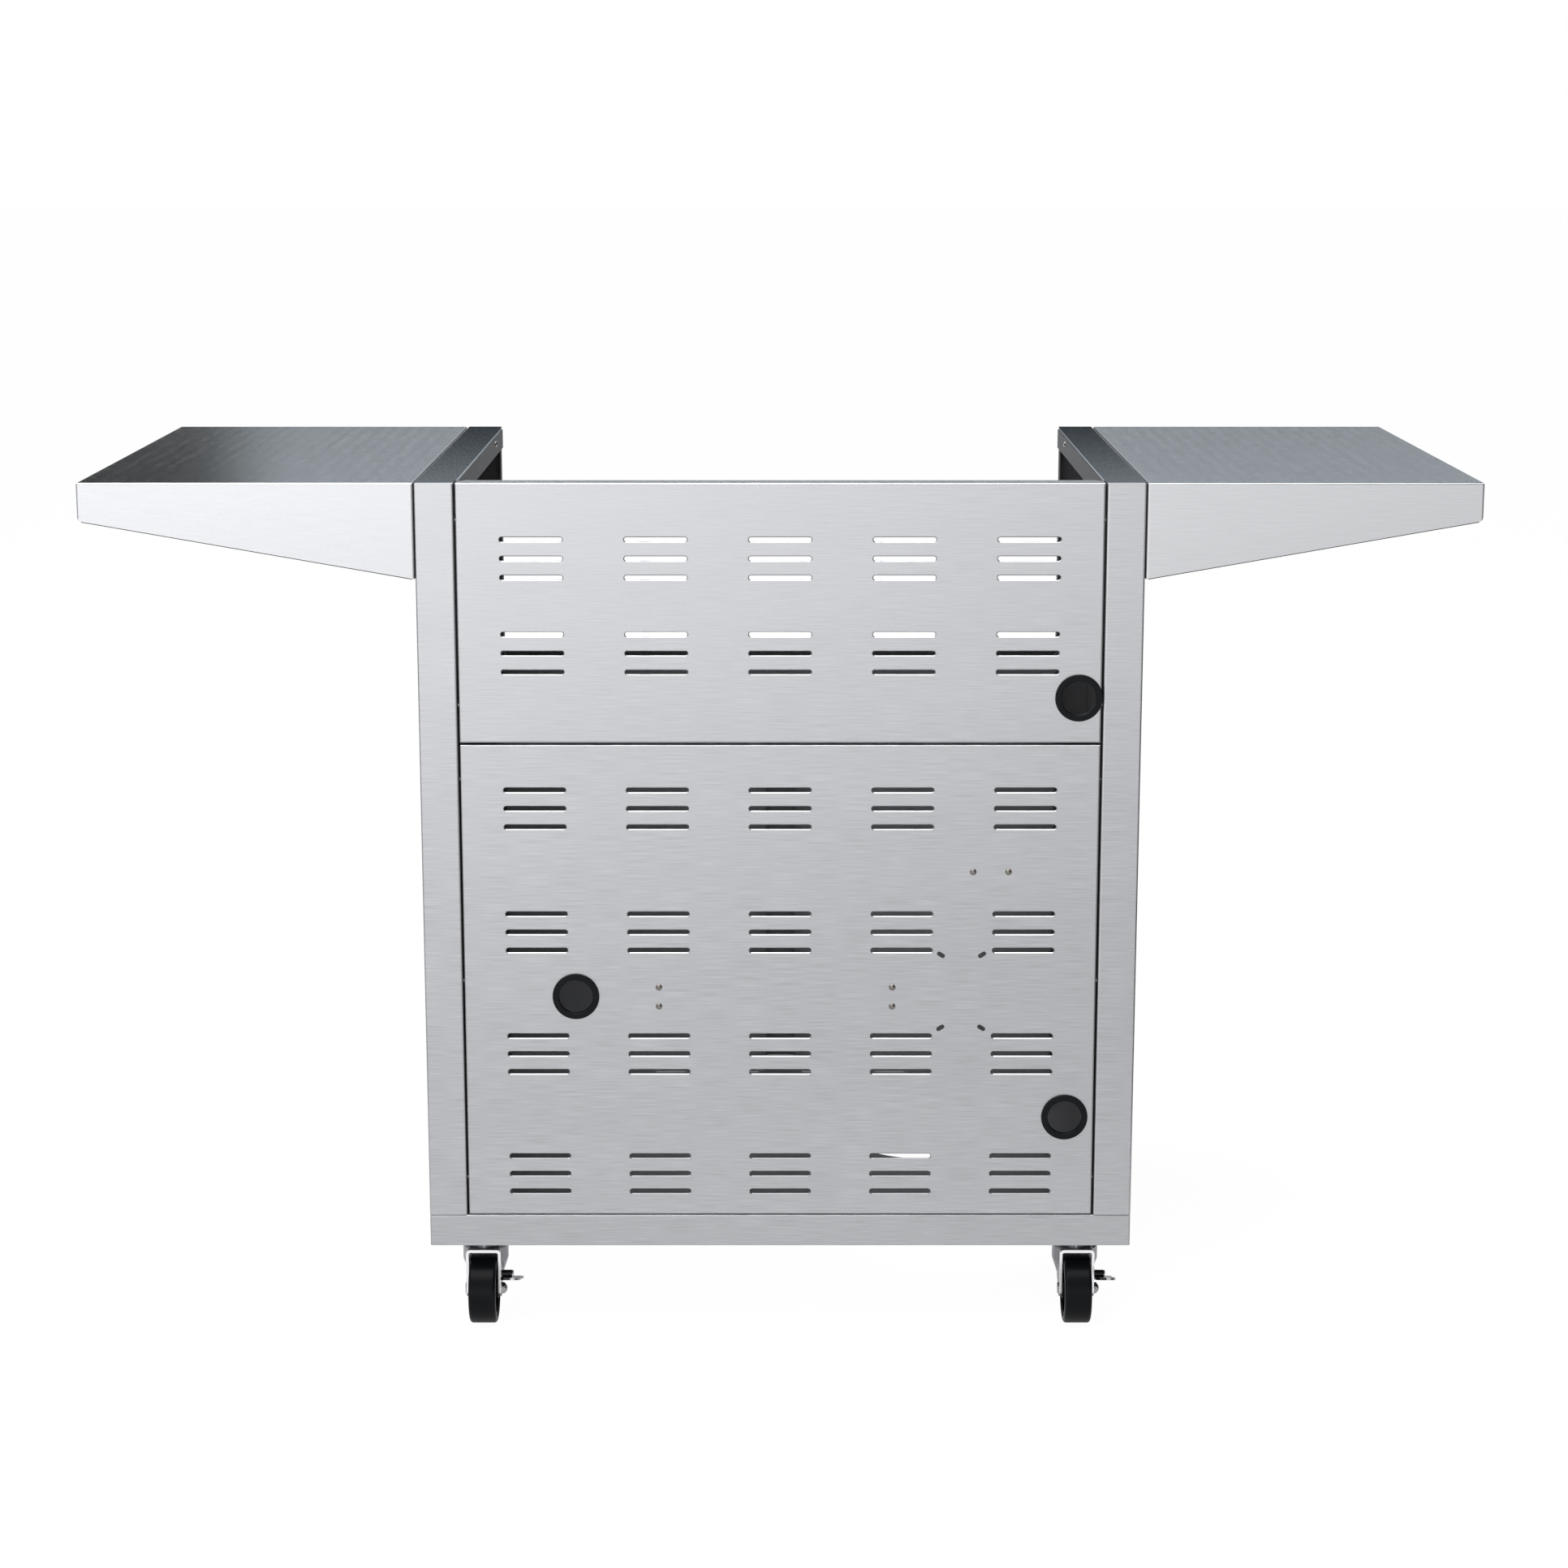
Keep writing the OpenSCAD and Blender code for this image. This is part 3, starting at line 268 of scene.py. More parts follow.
def new_group(name: str, inputs: dict[str, tuple[Socket, object]], outputs: dict[str, Socket]) -> tuple[
        bpy.types.NodeTree, Graph, bpy.types.Node, bpy.types.Node]:
    """Makes an empty shader node group with named sockets.

    Args:
        name: the group's name.
        inputs: each input's kind and default value.
        outputs: each output's kind.

    Returns:
        The tree, its graph, its input node and its output node.
    """
    tree = bpy.data.node_groups.new(name, "ShaderNodeTree")
    for label, (kind, value) in inputs.items():
        socket = tree.interface.new_socket(name=label, in_out="INPUT", socket_type=kind.value)
        socket.default_value = value
    for label, kind in outputs.items():
        tree.interface.new_socket(name=label, in_out="OUTPUT", socket_type=kind.value)
    graph = Graph(tree)
    return tree, graph, graph.node("NodeGroupInput"), graph.node("NodeGroupOutput")


@dataclass(frozen=True)
class GrainSizes:
    """How fine the brushed grain is, in blots per metre.

    Attributes:
        scratch: scratches across the grain on upright and on level faces.
        scratch_run: scratches along the grain.
        streak: streaks across and along the grain.
        cloud: clouds across and along the grain.
        level: the upward part of the normal from which a face counts as level.
    """

    scratch: tuple[float, float] = (1500.0, 5000.0)
    scratch_run: float = 60.0
    streak: tuple[float, float] = (900.0, 26.0)
    cloud: tuple[float, float] = (16.0, 2.6)
    level: float = 0.7


def brushed_grain_group(sizes: GrainSizes = GrainSizes()) -> bpy.types.NodeTree:
    """Builds the brushed grain of folded stainless sheet.

    The grain runs level on upright faces. On level faces it runs across the cart or front to
    back, as the folded sheet has it. Fine streaks are noise stretched along the grain, and they
    tilt the surface only across it, by half the spread each way, so highlights fan out there.

    Inside is 1 on faces that look towards the middle of the cabinet, which the steel paints darker
    as painted shade of the cabinet's inside and makes rougher, and Level is 1 on level faces.

    Args:
        sizes: how fine the grain is.

    Returns:
        The node group, with outputs Normal, Streak, Cloud, Inside and Level.
    """
    tree, g, inlet, outlet = new_group(
        "brushed_grain",
        {"Deep On Top": (Socket.NUMBER, 0.0), "Upright Spread": (Socket.NUMBER, 0.5),
         "Level Spread": (Socket.NUMBER, 0.5), "Seed": (Socket.NUMBER, 0.0)},
        {"Normal": Socket.VECTOR, "Streak": Socket.NUMBER, "Cloud": Socket.NUMBER,
         "Inside": Socket.NUMBER, "Level": Socket.NUMBER})
    place = g.node("ShaderNodeTexCoord").outputs["Object"]
    normal = g.facing()
    where = g.node("ShaderNodeSeparateXYZ")
    g.feed(where.inputs[0], place)
    x, y, z = where.outputs
    facing = g.node("ShaderNodeSeparateXYZ")
    g.feed(facing.inputs[0], normal)
    level = g.math("GREATER_THAN", g.math("ABSOLUTE", facing.outputs[2]), sizes.level)
    deep = inlet.outputs["Deep On Top"]
    across = g.mix(level, z, g.mix(deep, y, x))
    along = g.mix(level, g.math("ADD", x, y), g.mix(deep, x, y))
    seed = inlet.outputs["Seed"]

    def drawn(pitch: object, run: float, detail: float) -> bpy.types.NodeSocket:
        """Draws noise out along the grain.

        Args:
            pitch: blots per metre across the grain.
            run: blots per metre along it.
            detail: how many finer layers it has.

        Returns:
            The noise's socket.
        """
        place_on_grain = g.combine(g.math("MULTIPLY", across, pitch), g.math("MULTIPLY", along, run), seed)
        return g.noise(place_on_grain, detail)

    fine = drawn(g.mix(level, *sizes.scratch), sizes.scratch_run, 1.0)
    streak = drawn(*sizes.streak, 1.0)
    cloud = drawn(*sizes.cloud, 2.0)
    side = g.combine(g.math("MULTIPLY", level, deep),
                     g.math("MULTIPLY", level, g.math("SUBTRACT", 1.0, deep)),
                     g.math("SUBTRACT", 1.0, level))
    spread = g.mix(level, inlet.outputs["Upright Spread"], inlet.outputs["Level Spread"])
    swing = g.math("MULTIPLY", g.math("SUBTRACT", fine, 0.5), spread)
    tilted = g.vector("ADD", normal, g.vector("SCALE", side, swing))
    g.feed(outlet.inputs["Normal"], g.vector("NORMALIZE", g.turned(tilted, "OBJECT", "WORLD")))
    # Faces turned towards the cabinet's middle, which get the painted shade of the inside.
    outward = g.vector("SUBTRACT", place, g.combine(*CABINET_MIDDLE))
    inward = g.math("LESS_THAN", g.vector("DOT_PRODUCT", normal, outward), 0.0)
    g.feed(outlet.inputs["Inside"], inward)
    g.feed(outlet.inputs["Level"], level)
    g.feed(outlet.inputs["Streak"], streak)
    g.feed(outlet.inputs["Cloud"], cloud)
    return tree


def speckle_group() -> bpy.types.NodeTree:
    """Builds the fine mottle of plating, rubber and moulded plastic.

    Returns:
        The node group: Speckle is a fine even grain, Patch a slow change, both from 0 to 1.
    """
    tree, g, inlet, outlet = new_group(
        "fine_mottle",
        {"Grains Per Metre": (Socket.NUMBER, 900.0), "Patches Per Metre": (Socket.NUMBER, 40.0)},
        {"Speckle": Socket.NUMBER, "Patch": Socket.NUMBER})
    place = g.node("ShaderNodeTexCoord").outputs["Object"]
    grain = g.noise(g.vector("SCALE", place, inlet.outputs["Grains Per Metre"]), 2.0)
    patch = g.noise(g.vector("SCALE", place, inlet.outputs["Patches Per Metre"]), 3.0)
    g.feed(outlet.inputs["Speckle"], grain)
    g.feed(outlet.inputs["Patch"], patch)
    return tree


def shade(colour: Vec, share: float) -> tuple[float, float, float, float]:
    """Returns an opaque colour with each part multiplied by a share, and at most 1.

    Args:
        colour: the colour.
        share: the share.

    Returns:
        The new colour.
    """
    red, green, blue = (min(1.0, part * share) for part in colour)
    return red, green, blue, 1.0


@dataclass(frozen=True)
class BrushedSteel:
    """Brushed stainless sheet.

    Attributes:
        name: the material's name.
        colour: its mean colour.
        roughness: its roughness on upright and on level faces.
        spread: how far the grain fans the reflections out, on upright and on level faces.
        top: the direction of the grain on level faces.
        seed: moves the pattern, so that two pieces differ.
        contrast: how far the streaks change the colour.
        dull: share of the colour that is left on the unpolished inner faces.
        raw: how much rougher those inner faces are.
        streaks: share of the streaks in the change of colour, beside the clouds.
        band: the part of that change that is spread from dark to light.
        wander: the least and greatest roughness that the streaks give, as shares.
    """

    name: str
    colour: Vec = (0.468, 0.473, 0.487)
    roughness: tuple[float, float] = (0.38, 0.2)
    spread: tuple[float, float] = (0.03, 0.5)
    top: TopGrain = TopGrain.ACROSS
    seed: float = 0.0
    contrast: float = 0.12
    # dull: share of the colour left on the inner faces, as painted shade of the cabinet's inside.
    dull: float = 0.5
    raw: float = 0.15
    streaks: float = 0.85
    band: tuple[float, float] = (0.28, 0.72)
    wander: tuple[float, float] = (0.85, 1.2)

    def build(self, groups: dict[str, bpy.types.NodeTree]) -> bpy.types.Material:
        """Makes the material.

        Args:
            groups: the shared node groups.

        Returns:
            The material.
        """
        material = bpy.data.materials.new(self.name)
        material.use_nodes = True
        g = Graph(material.node_tree)
        out = g.node("ShaderNodeOutputMaterial")
        shader = g.node("ShaderNodeBsdfPrincipled")
        grain = g.node("ShaderNodeGroup", node_tree=groups["grain"])
        grain.inputs["Deep On Top"].default_value = self.top.value
        grain.inputs["Upright Spread"].default_value = self.spread[0]
        grain.inputs["Level Spread"].default_value = self.spread[1]
        grain.inputs["Seed"].default_value = self.seed
        change = g.math("ADD", g.math("MULTIPLY", grain.outputs["Streak"], self.streaks),
                        g.math("MULTIPLY", grain.outputs["Cloud"], 1.0 - self.streaks))
        polished = g.mix_colour(g.spread(change, *self.band), shade(self.colour, 1.0 - self.contrast),
                                shade(self.colour, 1.0 + self.contrast))
        # Painted shade: inner faces get the colour times dull, a darker copy standing for the shade inside
        # the cabinet.
        plain = shade(self.colour, self.dull)
        g.feed(shader.inputs["Base Color"], g.mix_colour(grain.outputs["Inside"], polished, plain))
        shader.inputs["Metallic"].default_value = 1.0
        satin = g.mix(grain.outputs["Level"], *self.roughness)
        streaky = g.math("MULTIPLY", satin, g.spread(grain.outputs["Streak"], 0.2, 0.8, *self.wander))
        rougher = g.math("MULTIPLY", grain.outputs["Inside"], self.raw)
        g.feed(shader.inputs["Roughness"], g.math("ADD", streaky, rougher))
        g.feed(shader.inputs["Normal"], grain.outputs["Normal"])
        g.feed(out.inputs["Surface"], shader.outputs[0])
        return material


class Mottle(Enum):
    """Outputs of the fine mottle group, for what changes with them."""

    SPECKLE = "Speckle"
    PATCH = "Patch"


@dataclass(frozen=True)
class Mottled:
    """Smooth finish with a fine even grain and a slow change of colour.

    Attributes:
        name: the material's name.
        colour: its mean colour.
        roughness: its mean roughness.
        grain: grains of its skin per metre.
        bump: the height of that grain, in metres.
        gloss: level of its mirror reflection, where 0.5 is plain plastic.
        metal: 1 for metal, 0 for other stuff.
        patches: patches of colour per metre.
        tones: darkest and lightest colour as shares of the mean one.
        uneven: what the roughness changes with.
        band: the part of that change that is spread from smooth to rough.
        wander: how far the roughness goes below and above its mean.
        relief: strength of the grain's relief.
    """

    name: str
    colour: Vec
    roughness: float = 0.45
    grain: float = 1500.0
    bump: float = 0.00003
    gloss: float = 0.3
    metal: float = 0.0
    patches: float = 60.0
    tones: tuple[float, float] = (0.75, 1.25)
    uneven: Mottle = Mottle.SPECKLE
    band: tuple[float, float] = (0.3, 0.7)
    wander: tuple[float, float] = (0.06, 0.08)
    relief: float = 0.7

    def tint(self, g: Graph, colour: bpy.types.NodeSocket) -> bpy.types.NodeSocket:
        """Changes the colour in places, or leaves it as it is."""
        return colour

    def build(self, groups: dict[str, bpy.types.NodeTree]) -> bpy.types.Material:
        """Makes the material.

        Args:
            groups: the shared node groups.

        Returns:
            The material.
        """
        material = bpy.data.materials.new(self.name)
        material.use_nodes = True
        g = Graph(material.node_tree)
        out = g.node("ShaderNodeOutputMaterial")
        shader = g.node("ShaderNodeBsdfPrincipled")
        mottle = g.node("ShaderNodeGroup", node_tree=groups["mottle"])
        mottle.inputs["Grains Per Metre"].default_value = self.grain
        mottle.inputs["Patches Per Metre"].default_value = self.patches
        dark, light = (shade(self.colour, tone) for tone in self.tones)
        mean = g.mix_colour(mottle.outputs["Patch"], dark, light)
        g.feed(shader.inputs["Base Color"], self.tint(g, mean))
        shader.inputs["Metallic"].default_value = self.metal
        shader.inputs["Specular IOR Level"].default_value = self.gloss
        smooth, rough = self.roughness - self.wander[0], self.roughness + self.wander[1]
        change = mottle.outputs[self.uneven.value]
        g.feed(shader.inputs["Roughness"], g.spread(change, *self.band, smooth, rough))
        bump = g.node("ShaderNodeBump")
        bump.inputs["Distance"].default_value = self.bump
        bump.inputs["Strength"].default_value = self.relief
        g.feed(bump.inputs["Height"], mottle.outputs["Speckle"])
        g.feed(shader.inputs["Normal"], bump.outputs[0])
        g.feed(out.inputs["Surface"], shader.outputs[0])
        return material


@dataclass(frozen=True)
class Moulded(Mottled):
    """Moulded rubber or plastic."""


@dataclass(frozen=True)
class Plated(Mottled):
    """Smooth plated steel, such as zinc on a fork or a screw."""

    roughness: float = 0.22
    grain: float = 1200.0
    bump: float = 0.00002
    gloss: float = 0.5
    metal: float = 1.0
    patches: float = 90.0
    tones: tuple[float, float] = (0.88, 1.08)
    uneven: Mottle = Mottle.PATCH
    wander: tuple[float, float] = (0.05, 0.08)
    relief: float = 0.6


@dataclass(frozen=True)
class PlatedWithPaintedEdgeHighlight(Plated):
    """Plated pressing whose cut edges, which face along Y, get a lighter colour than its faces: a painted
    highlight.

    Attributes:
        edge: the painted highlight's colour on the cut edges.
        ahead: the least part of such a face's normal along Y.
        aside: the greatest part of it along X.
    """

    edge: Vec = (0.88, 0.88, 0.89)
    ahead: float = 0.93
    aside: float = 0.05

    def tint(self, g: Graph, colour: bpy.types.NodeSocket) -> bpy.types.NodeSocket:
        """Paints a highlight on the cut edges.

        Args:
            g: the material's graph.
            colour: the plating's colour.

        Returns:
            The changed colour.
        """
        way = g.node("ShaderNodeSeparateXYZ")
        g.feed(way.inputs[0], g.facing())
        # Faces turned along Y get the painted highlight colour.
        cut = g.math("MULTIPLY", g.math("GREATER_THAN", g.math("ABSOLUTE", way.outputs[1]), self.ahead),
                     g.math("LESS_THAN", g.math("ABSOLUTE", way.outputs[0]), self.aside))
        return g.mix_colour(cut, colour, shade(self.edge, 1.0))


@dataclass(frozen=True)
class Pedal(Plated):
    """Plated brake pedal with a black boss next to the fork.

    Attributes:
        boss: the boss's colour.
        track: X of the left casters' swivel axes, in metres.
        edge: the boss's outer face, in metres from that axis.
    """

    boss: Vec = (0.035, 0.035, 0.038)
    track: float = 0.326
    edge: float = 0.0308

    def tint(self, g: Graph, colour: bpy.types.NodeSocket) -> bpy.types.NodeSocket:
        """Blackens the boss of each pedal, on both sides of the cart.

        Args:
            g: the material's graph.
            colour: the plating's colour.

        Returns:
            The changed colour.
        """
        where = g.node("ShaderNodeSeparateXYZ")
        g.feed(where.inputs[0], g.node("ShaderNodeTexCoord").outputs["Object"])
        away = g.math("WRAP", g.math("ADD", where.outputs[0], self.track), 2.0 * self.track, 0.0)
        near = g.math("GREATER_THAN", away, 2.0 * self.track - self.edge)
        return g.mix_colour(near, colour, shade(self.boss, 1.0))


Finish = BrushedSteel | Mottled


class Finishes:
    """Builds each finish once and hands it out."""

    def __init__(self) -> None:
        """Makes the shared node groups."""
        self.groups = {"grain": brushed_grain_group(), "mottle": speckle_group()}
        self.made: dict[str, bpy.types.Material] = {}

    def get(self, finish: Finish) -> bpy.types.Material:
        """Returns the material of a finish.

        Args:
            finish: the finish.

        Returns:
            Its material.
        """
        if finish.name not in self.made:
            self.made[finish.name] = finish.build(self.groups)
        return self.made[finish.name]


@dataclass
class SubAssembly:
    """A group of pieces that share a bench.

    Attributes:
        finishes: the shop's finishes.
    """

    frame: dict
    finishes: Finishes

    def dress(self, node: str, finish: Finish) -> None:
        """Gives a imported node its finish.

        Args:
            node: the node's name.
            finish: the finish.
        """
        item = self.frame["nodes"][node]
        material = self.finishes.get(finish)
        for slot in item.material_slots:
            slot.material = material
        LOG.info("%s: %s", node, finish.name)

    def add(self, name: str, item: bpy.types.Object, body: str, finish: Finish) -> None:
        """Puts a new piece on a body and gives it its finish.

        Args:
            name: the piece's name.
            item: the piece.
            body: the body that it rides on.
            finish: the finish.
        """
        item.data.materials.append(self.finishes.get(finish))
        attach(item, body)
        LOG.info("%s: %s on %s", name, finish.name, body)


@dataclass
class Cabinet(SubAssembly):
    """Side panels, base pan, rail, post and the pieces inside."""

    # dull sets the painted shade on inner faces: 0.4 of the colour on the side panels, 0.9 on the base pan.
    steel: BrushedSteel = BrushedSteel("side_sheet", top=TopGrain.DEEP, seed=1.0, roughness=(0.38, 0.06),
                                       spread=(0.03, 0.2), dull=0.4)
    base: BrushedSteel = BrushedSteel("base_sheet", (0.45, 0.455, 0.468), seed=2.0, dull=0.9)
    inner: BrushedSteel = BrushedSteel("rail_sheet", seed=3.0)
    zinc: Plated = Plated("zinc_sheet", (0.58, 0.59, 0.60), 0.3)
    bright: Plated = Plated("bright_screws", (0.74, 0.73, 0.72), 0.18)
    dull: Plated = Plated("back_screw_plating", (0.27, 0.25, 0.23), 0.38)

    def build(self) -> None:
        """Dresses the cabinet's nodes."""
        for node in ("left_side_panel", "right_side_panel"):
            self.dress(node, self.steel)
        self.dress("base_pan", self.base)
        for node in ("front_rail", "centre_post"):
            self.dress(node, self.inner)
        for node in ("caster_mounts", "guard_bar", "hose_hook", "door_brackets"):
            self.dress(node, self.zinc)
        self.dress("back_screws", self.dull)
        for node in ("rail_screws", "panel_screws", "frame_screws", "bracket_screws", "shelf_bolts",
                     "caster_bolts"):
            self.dress(node, self.bright)


@dataclass
class BackPanels(SubAssembly):
    """The two slotted panels and the rubber rings in their ports."""

    sheet: BrushedSteel = BrushedSteel("back_sheet", seed=4.0)
    lower: BrushedSteel = BrushedSteel("lower_back_sheet", seed=5.0)
    rubber: Moulded = Moulded("port_rubber", (0.005, 0.006, 0.007), 0.42, 900.0, gloss=0.12)

    def build(self) -> None:
        """Dresses the panels and the grommets."""
        self.dress("upper_back_panel", self.sheet)
        self.dress("lower_back_panel", self.lower)
        for node in ("upper_grommet", "middle_grommet", "lower_grommet"):
            self.dress(node, self.rubber)


def rod(name: str, path: np.ndarray, radius: float, sides: int = 12) -> bpy.types.Object:
    """Makes a round rod along a path of points, closed at both ends.

    Ring k stands at path point k, square to the mean of the path's directions before and after it:
    point = path + radius * (cos(a) * u + sin(a) * v), with u and v at right angles to the path.

    Args:
        name: the object's name.
        path: its middle line, one point a row, in metres.
        radius: its radius.
        sides: points round each ring.

    Returns:
        The object, which lies at the origin.
    """
    steps = np.gradient(path, axis=0)
    ahead = steps / np.linalg.norm(steps, axis=1, keepdims=True)
    spare = np.where(np.abs(ahead[:, 1:2]) < 0.9, [[0.0, 1.0, 0.0]], [[1.0, 0.0, 0.0]])
    u = np.cross(spare, ahead)
    u /= np.linalg.norm(u, axis=1, keepdims=True)
    v = np.cross(ahead, u)
    a = np.arange(sides) * 2.0 * np.pi / sides
    around = np.cos(a)[None, :, None] * u[:, None] + np.sin(a)[None, :, None] * v[:, None]
    rings = path[:, None] + radius * around
    count = len(path)
    k, j = np.meshgrid(np.arange(count - 1), np.arange(sides), indexing="ij")
    after = (j + 1) % sides
    quads = np.stack([k * sides + j, k * sides + after, (k + 1) * sides + after, (k + 1) * sides + j], -1)
    faces = [tuple(face) for face in quads.reshape(-1, 4).tolist()]
    faces += [tuple(range(sides - 1, -1, -1)), tuple(range((count - 1) * sides, count * sides))]
    mesh = bpy.data.meshes.new(name)
    mesh.from_pydata(rings.reshape(-1, 3).tolist(), [], faces)
    mesh.polygons.foreach_set("use_smooth", [True] * (len(faces) - 2) + [False] * 2)
    item = bpy.data.objects.new(name, mesh)
    bpy.context.scene.collection.objects.link(item)
    return item


@dataclass
class Shelves(SubAssembly):
    """The two tapered side shelves, with a thin dark rod along each tapered end's edge as painted shade.

    Attributes:
        sheet: the shelves' finish.
        painted_shade_line: the rods' dark finish, painted shade along the tapered edges.
        shade_line_radius: radius of a cut edge's rod, in metres.
        shade_line_sink: how far below the edge the rod's middle lies, as a share of that radius.
        shade_line_points: points along a rod.
        reach: distance from the cart's middle at which a tapered edge begins and ends.
        level: its height there.
        ends: Y of the front and rear edges.
    """

    sheet: BrushedSteel = BrushedSteel("shelf_sheet", (0.535, 0.541, 0.553), (0.38, 0.16), (0.03, 0.17),
                                       seed=6.0, contrast=0.08)
    # Dark rods sunk just below each tapered edge: painted shade along the edge.
    painted_shade_line: Plated = Plated("cut_edge", (0.06, 0.06, 0.065), 0.4)
    shade_line_radius: float = 0.00055
    shade_line_sink: float = 0.6
    shade_line_points: int = 9
    reach: tuple[float, float] = (0.3845, 0.7275)
    level: tuple[float, float] = (0.83042, 0.89025)
    ends: tuple[float, float] = (-0.274, 0.332)

    def build(self) -> None:
        """Dresses the shelves and lays a thin dark rod along each tapered edge, as painted shade."""
        share = np.linspace(0.0, 1.0, self.shade_line_points)
        z = self.level[0] + share * (self.level[1] - self.level[0]) - self.shade_line_sink * self.shade_line_radius
        for side, sign in (("left", -1.0), ("right", 1.0)):
            self.dress(f"{side}_shelf", self.sheet)
            x = sign * (self.reach[0] + share * (self.reach[1] - self.reach[0]))
            for end, y in zip(("front", "rear"), self.ends):
                name = f"{side}_shelf_{end}_edge"
                edge = rod(name, np.stack([x, np.full_like(x, y), z], 1), self.shade_line_radius)
                self.add(name, edge, "cabinet", self.painted_shade_line)


@dataclass
class Doors(SubAssembly):
    """Both doors with their liners, handles, pins, magnets and bumpers."""

    skin: BrushedSteel = BrushedSteel("door_sheet", seed=7.0)
    # The liner's inner faces keep 0.7 of the colour: painted shade inside the doors.
    liner: BrushedSteel = BrushedSteel("door_liner_sheet", seed=8.0, dull=0.7)
    bar: BrushedSteel = BrushedSteel("handle_bar", (0.64, 0.64, 0.65), (0.2, 0.2), (0.3, 0.3), seed=9.0)
    pin: Plated = Plated("pin_steel", (0.66, 0.66, 0.67), 0.25)
    magnet: Moulded = Moulded("magnet_plastic", (0.06, 0.06, 0.062), 0.5)
    bumper: Moulded = Moulded("bumper_rubber", (0.02, 0.02, 0.02), 0.6)

    def build(self) -> None:
        """Dresses the doors."""
        for side in ("left", "right"):
            self.dress(f"{side}_door_skin", self.skin)
            self.dress(f"{side}_door_liner", self.liner)
            self.dress(f"{side}_door_handle", self.bar)
            self.dress(f"{side}_door_pins", self.pin)
        self.dress("door_magnets", self.magnet)
        self.dress("door_bumpers", self.bumper)


@dataclass
class Casters(SubAssembly):
    """The four braked swivel casters."""

    # The fork's plating is darker than zinc as painted shade of its flanks; its cut edges get a painted
    # highlight.
    fork: PlatedWithPaintedEdgeHighlight = PlatedWithPaintedEdgeHighlight("fork_plating", (0.34, 0.34, 0.36), 0.22)
    axle: Plated = Plated("axle_plating", (0.36, 0.36, 0.37), 0.14)
    plate: Plated = Plated("plate_plating", (0.30, 0.30, 0.31), 0.3)
    pedal: Pedal = Pedal("pedal_plating", (0.50, 0.50, 0.51), 0.25)
    core: Moulded = Moulded("wheel_core_plastic", (0.006, 0.006, 0.007), 0.4, gloss=0.15)
    tread: Moulded = Moulded("wheel_tread_rubber", (0.004, 0.0045, 0.0055), 0.33, 700.0, gloss=0.1)
    corners: tuple[str, ...] = ("rear_left", "rear_right", "front_left", "front_right")

    def build(self) -> None:
        """Dresses the casters."""
        for corner in self.corners:
            self.dress(f"{corner}_caster_plate", self.plate)
            self.dress(f"{corner}_fork", self.fork)
            self.dress(f"{corner}_axle", self.axle)
            self.dress(f"{corner}_brake_pedal", self.pedal)
            self.dress(f"{corner}_wheel_core", self.core)
            self.dress(f"{corner}_tread", self.tread)


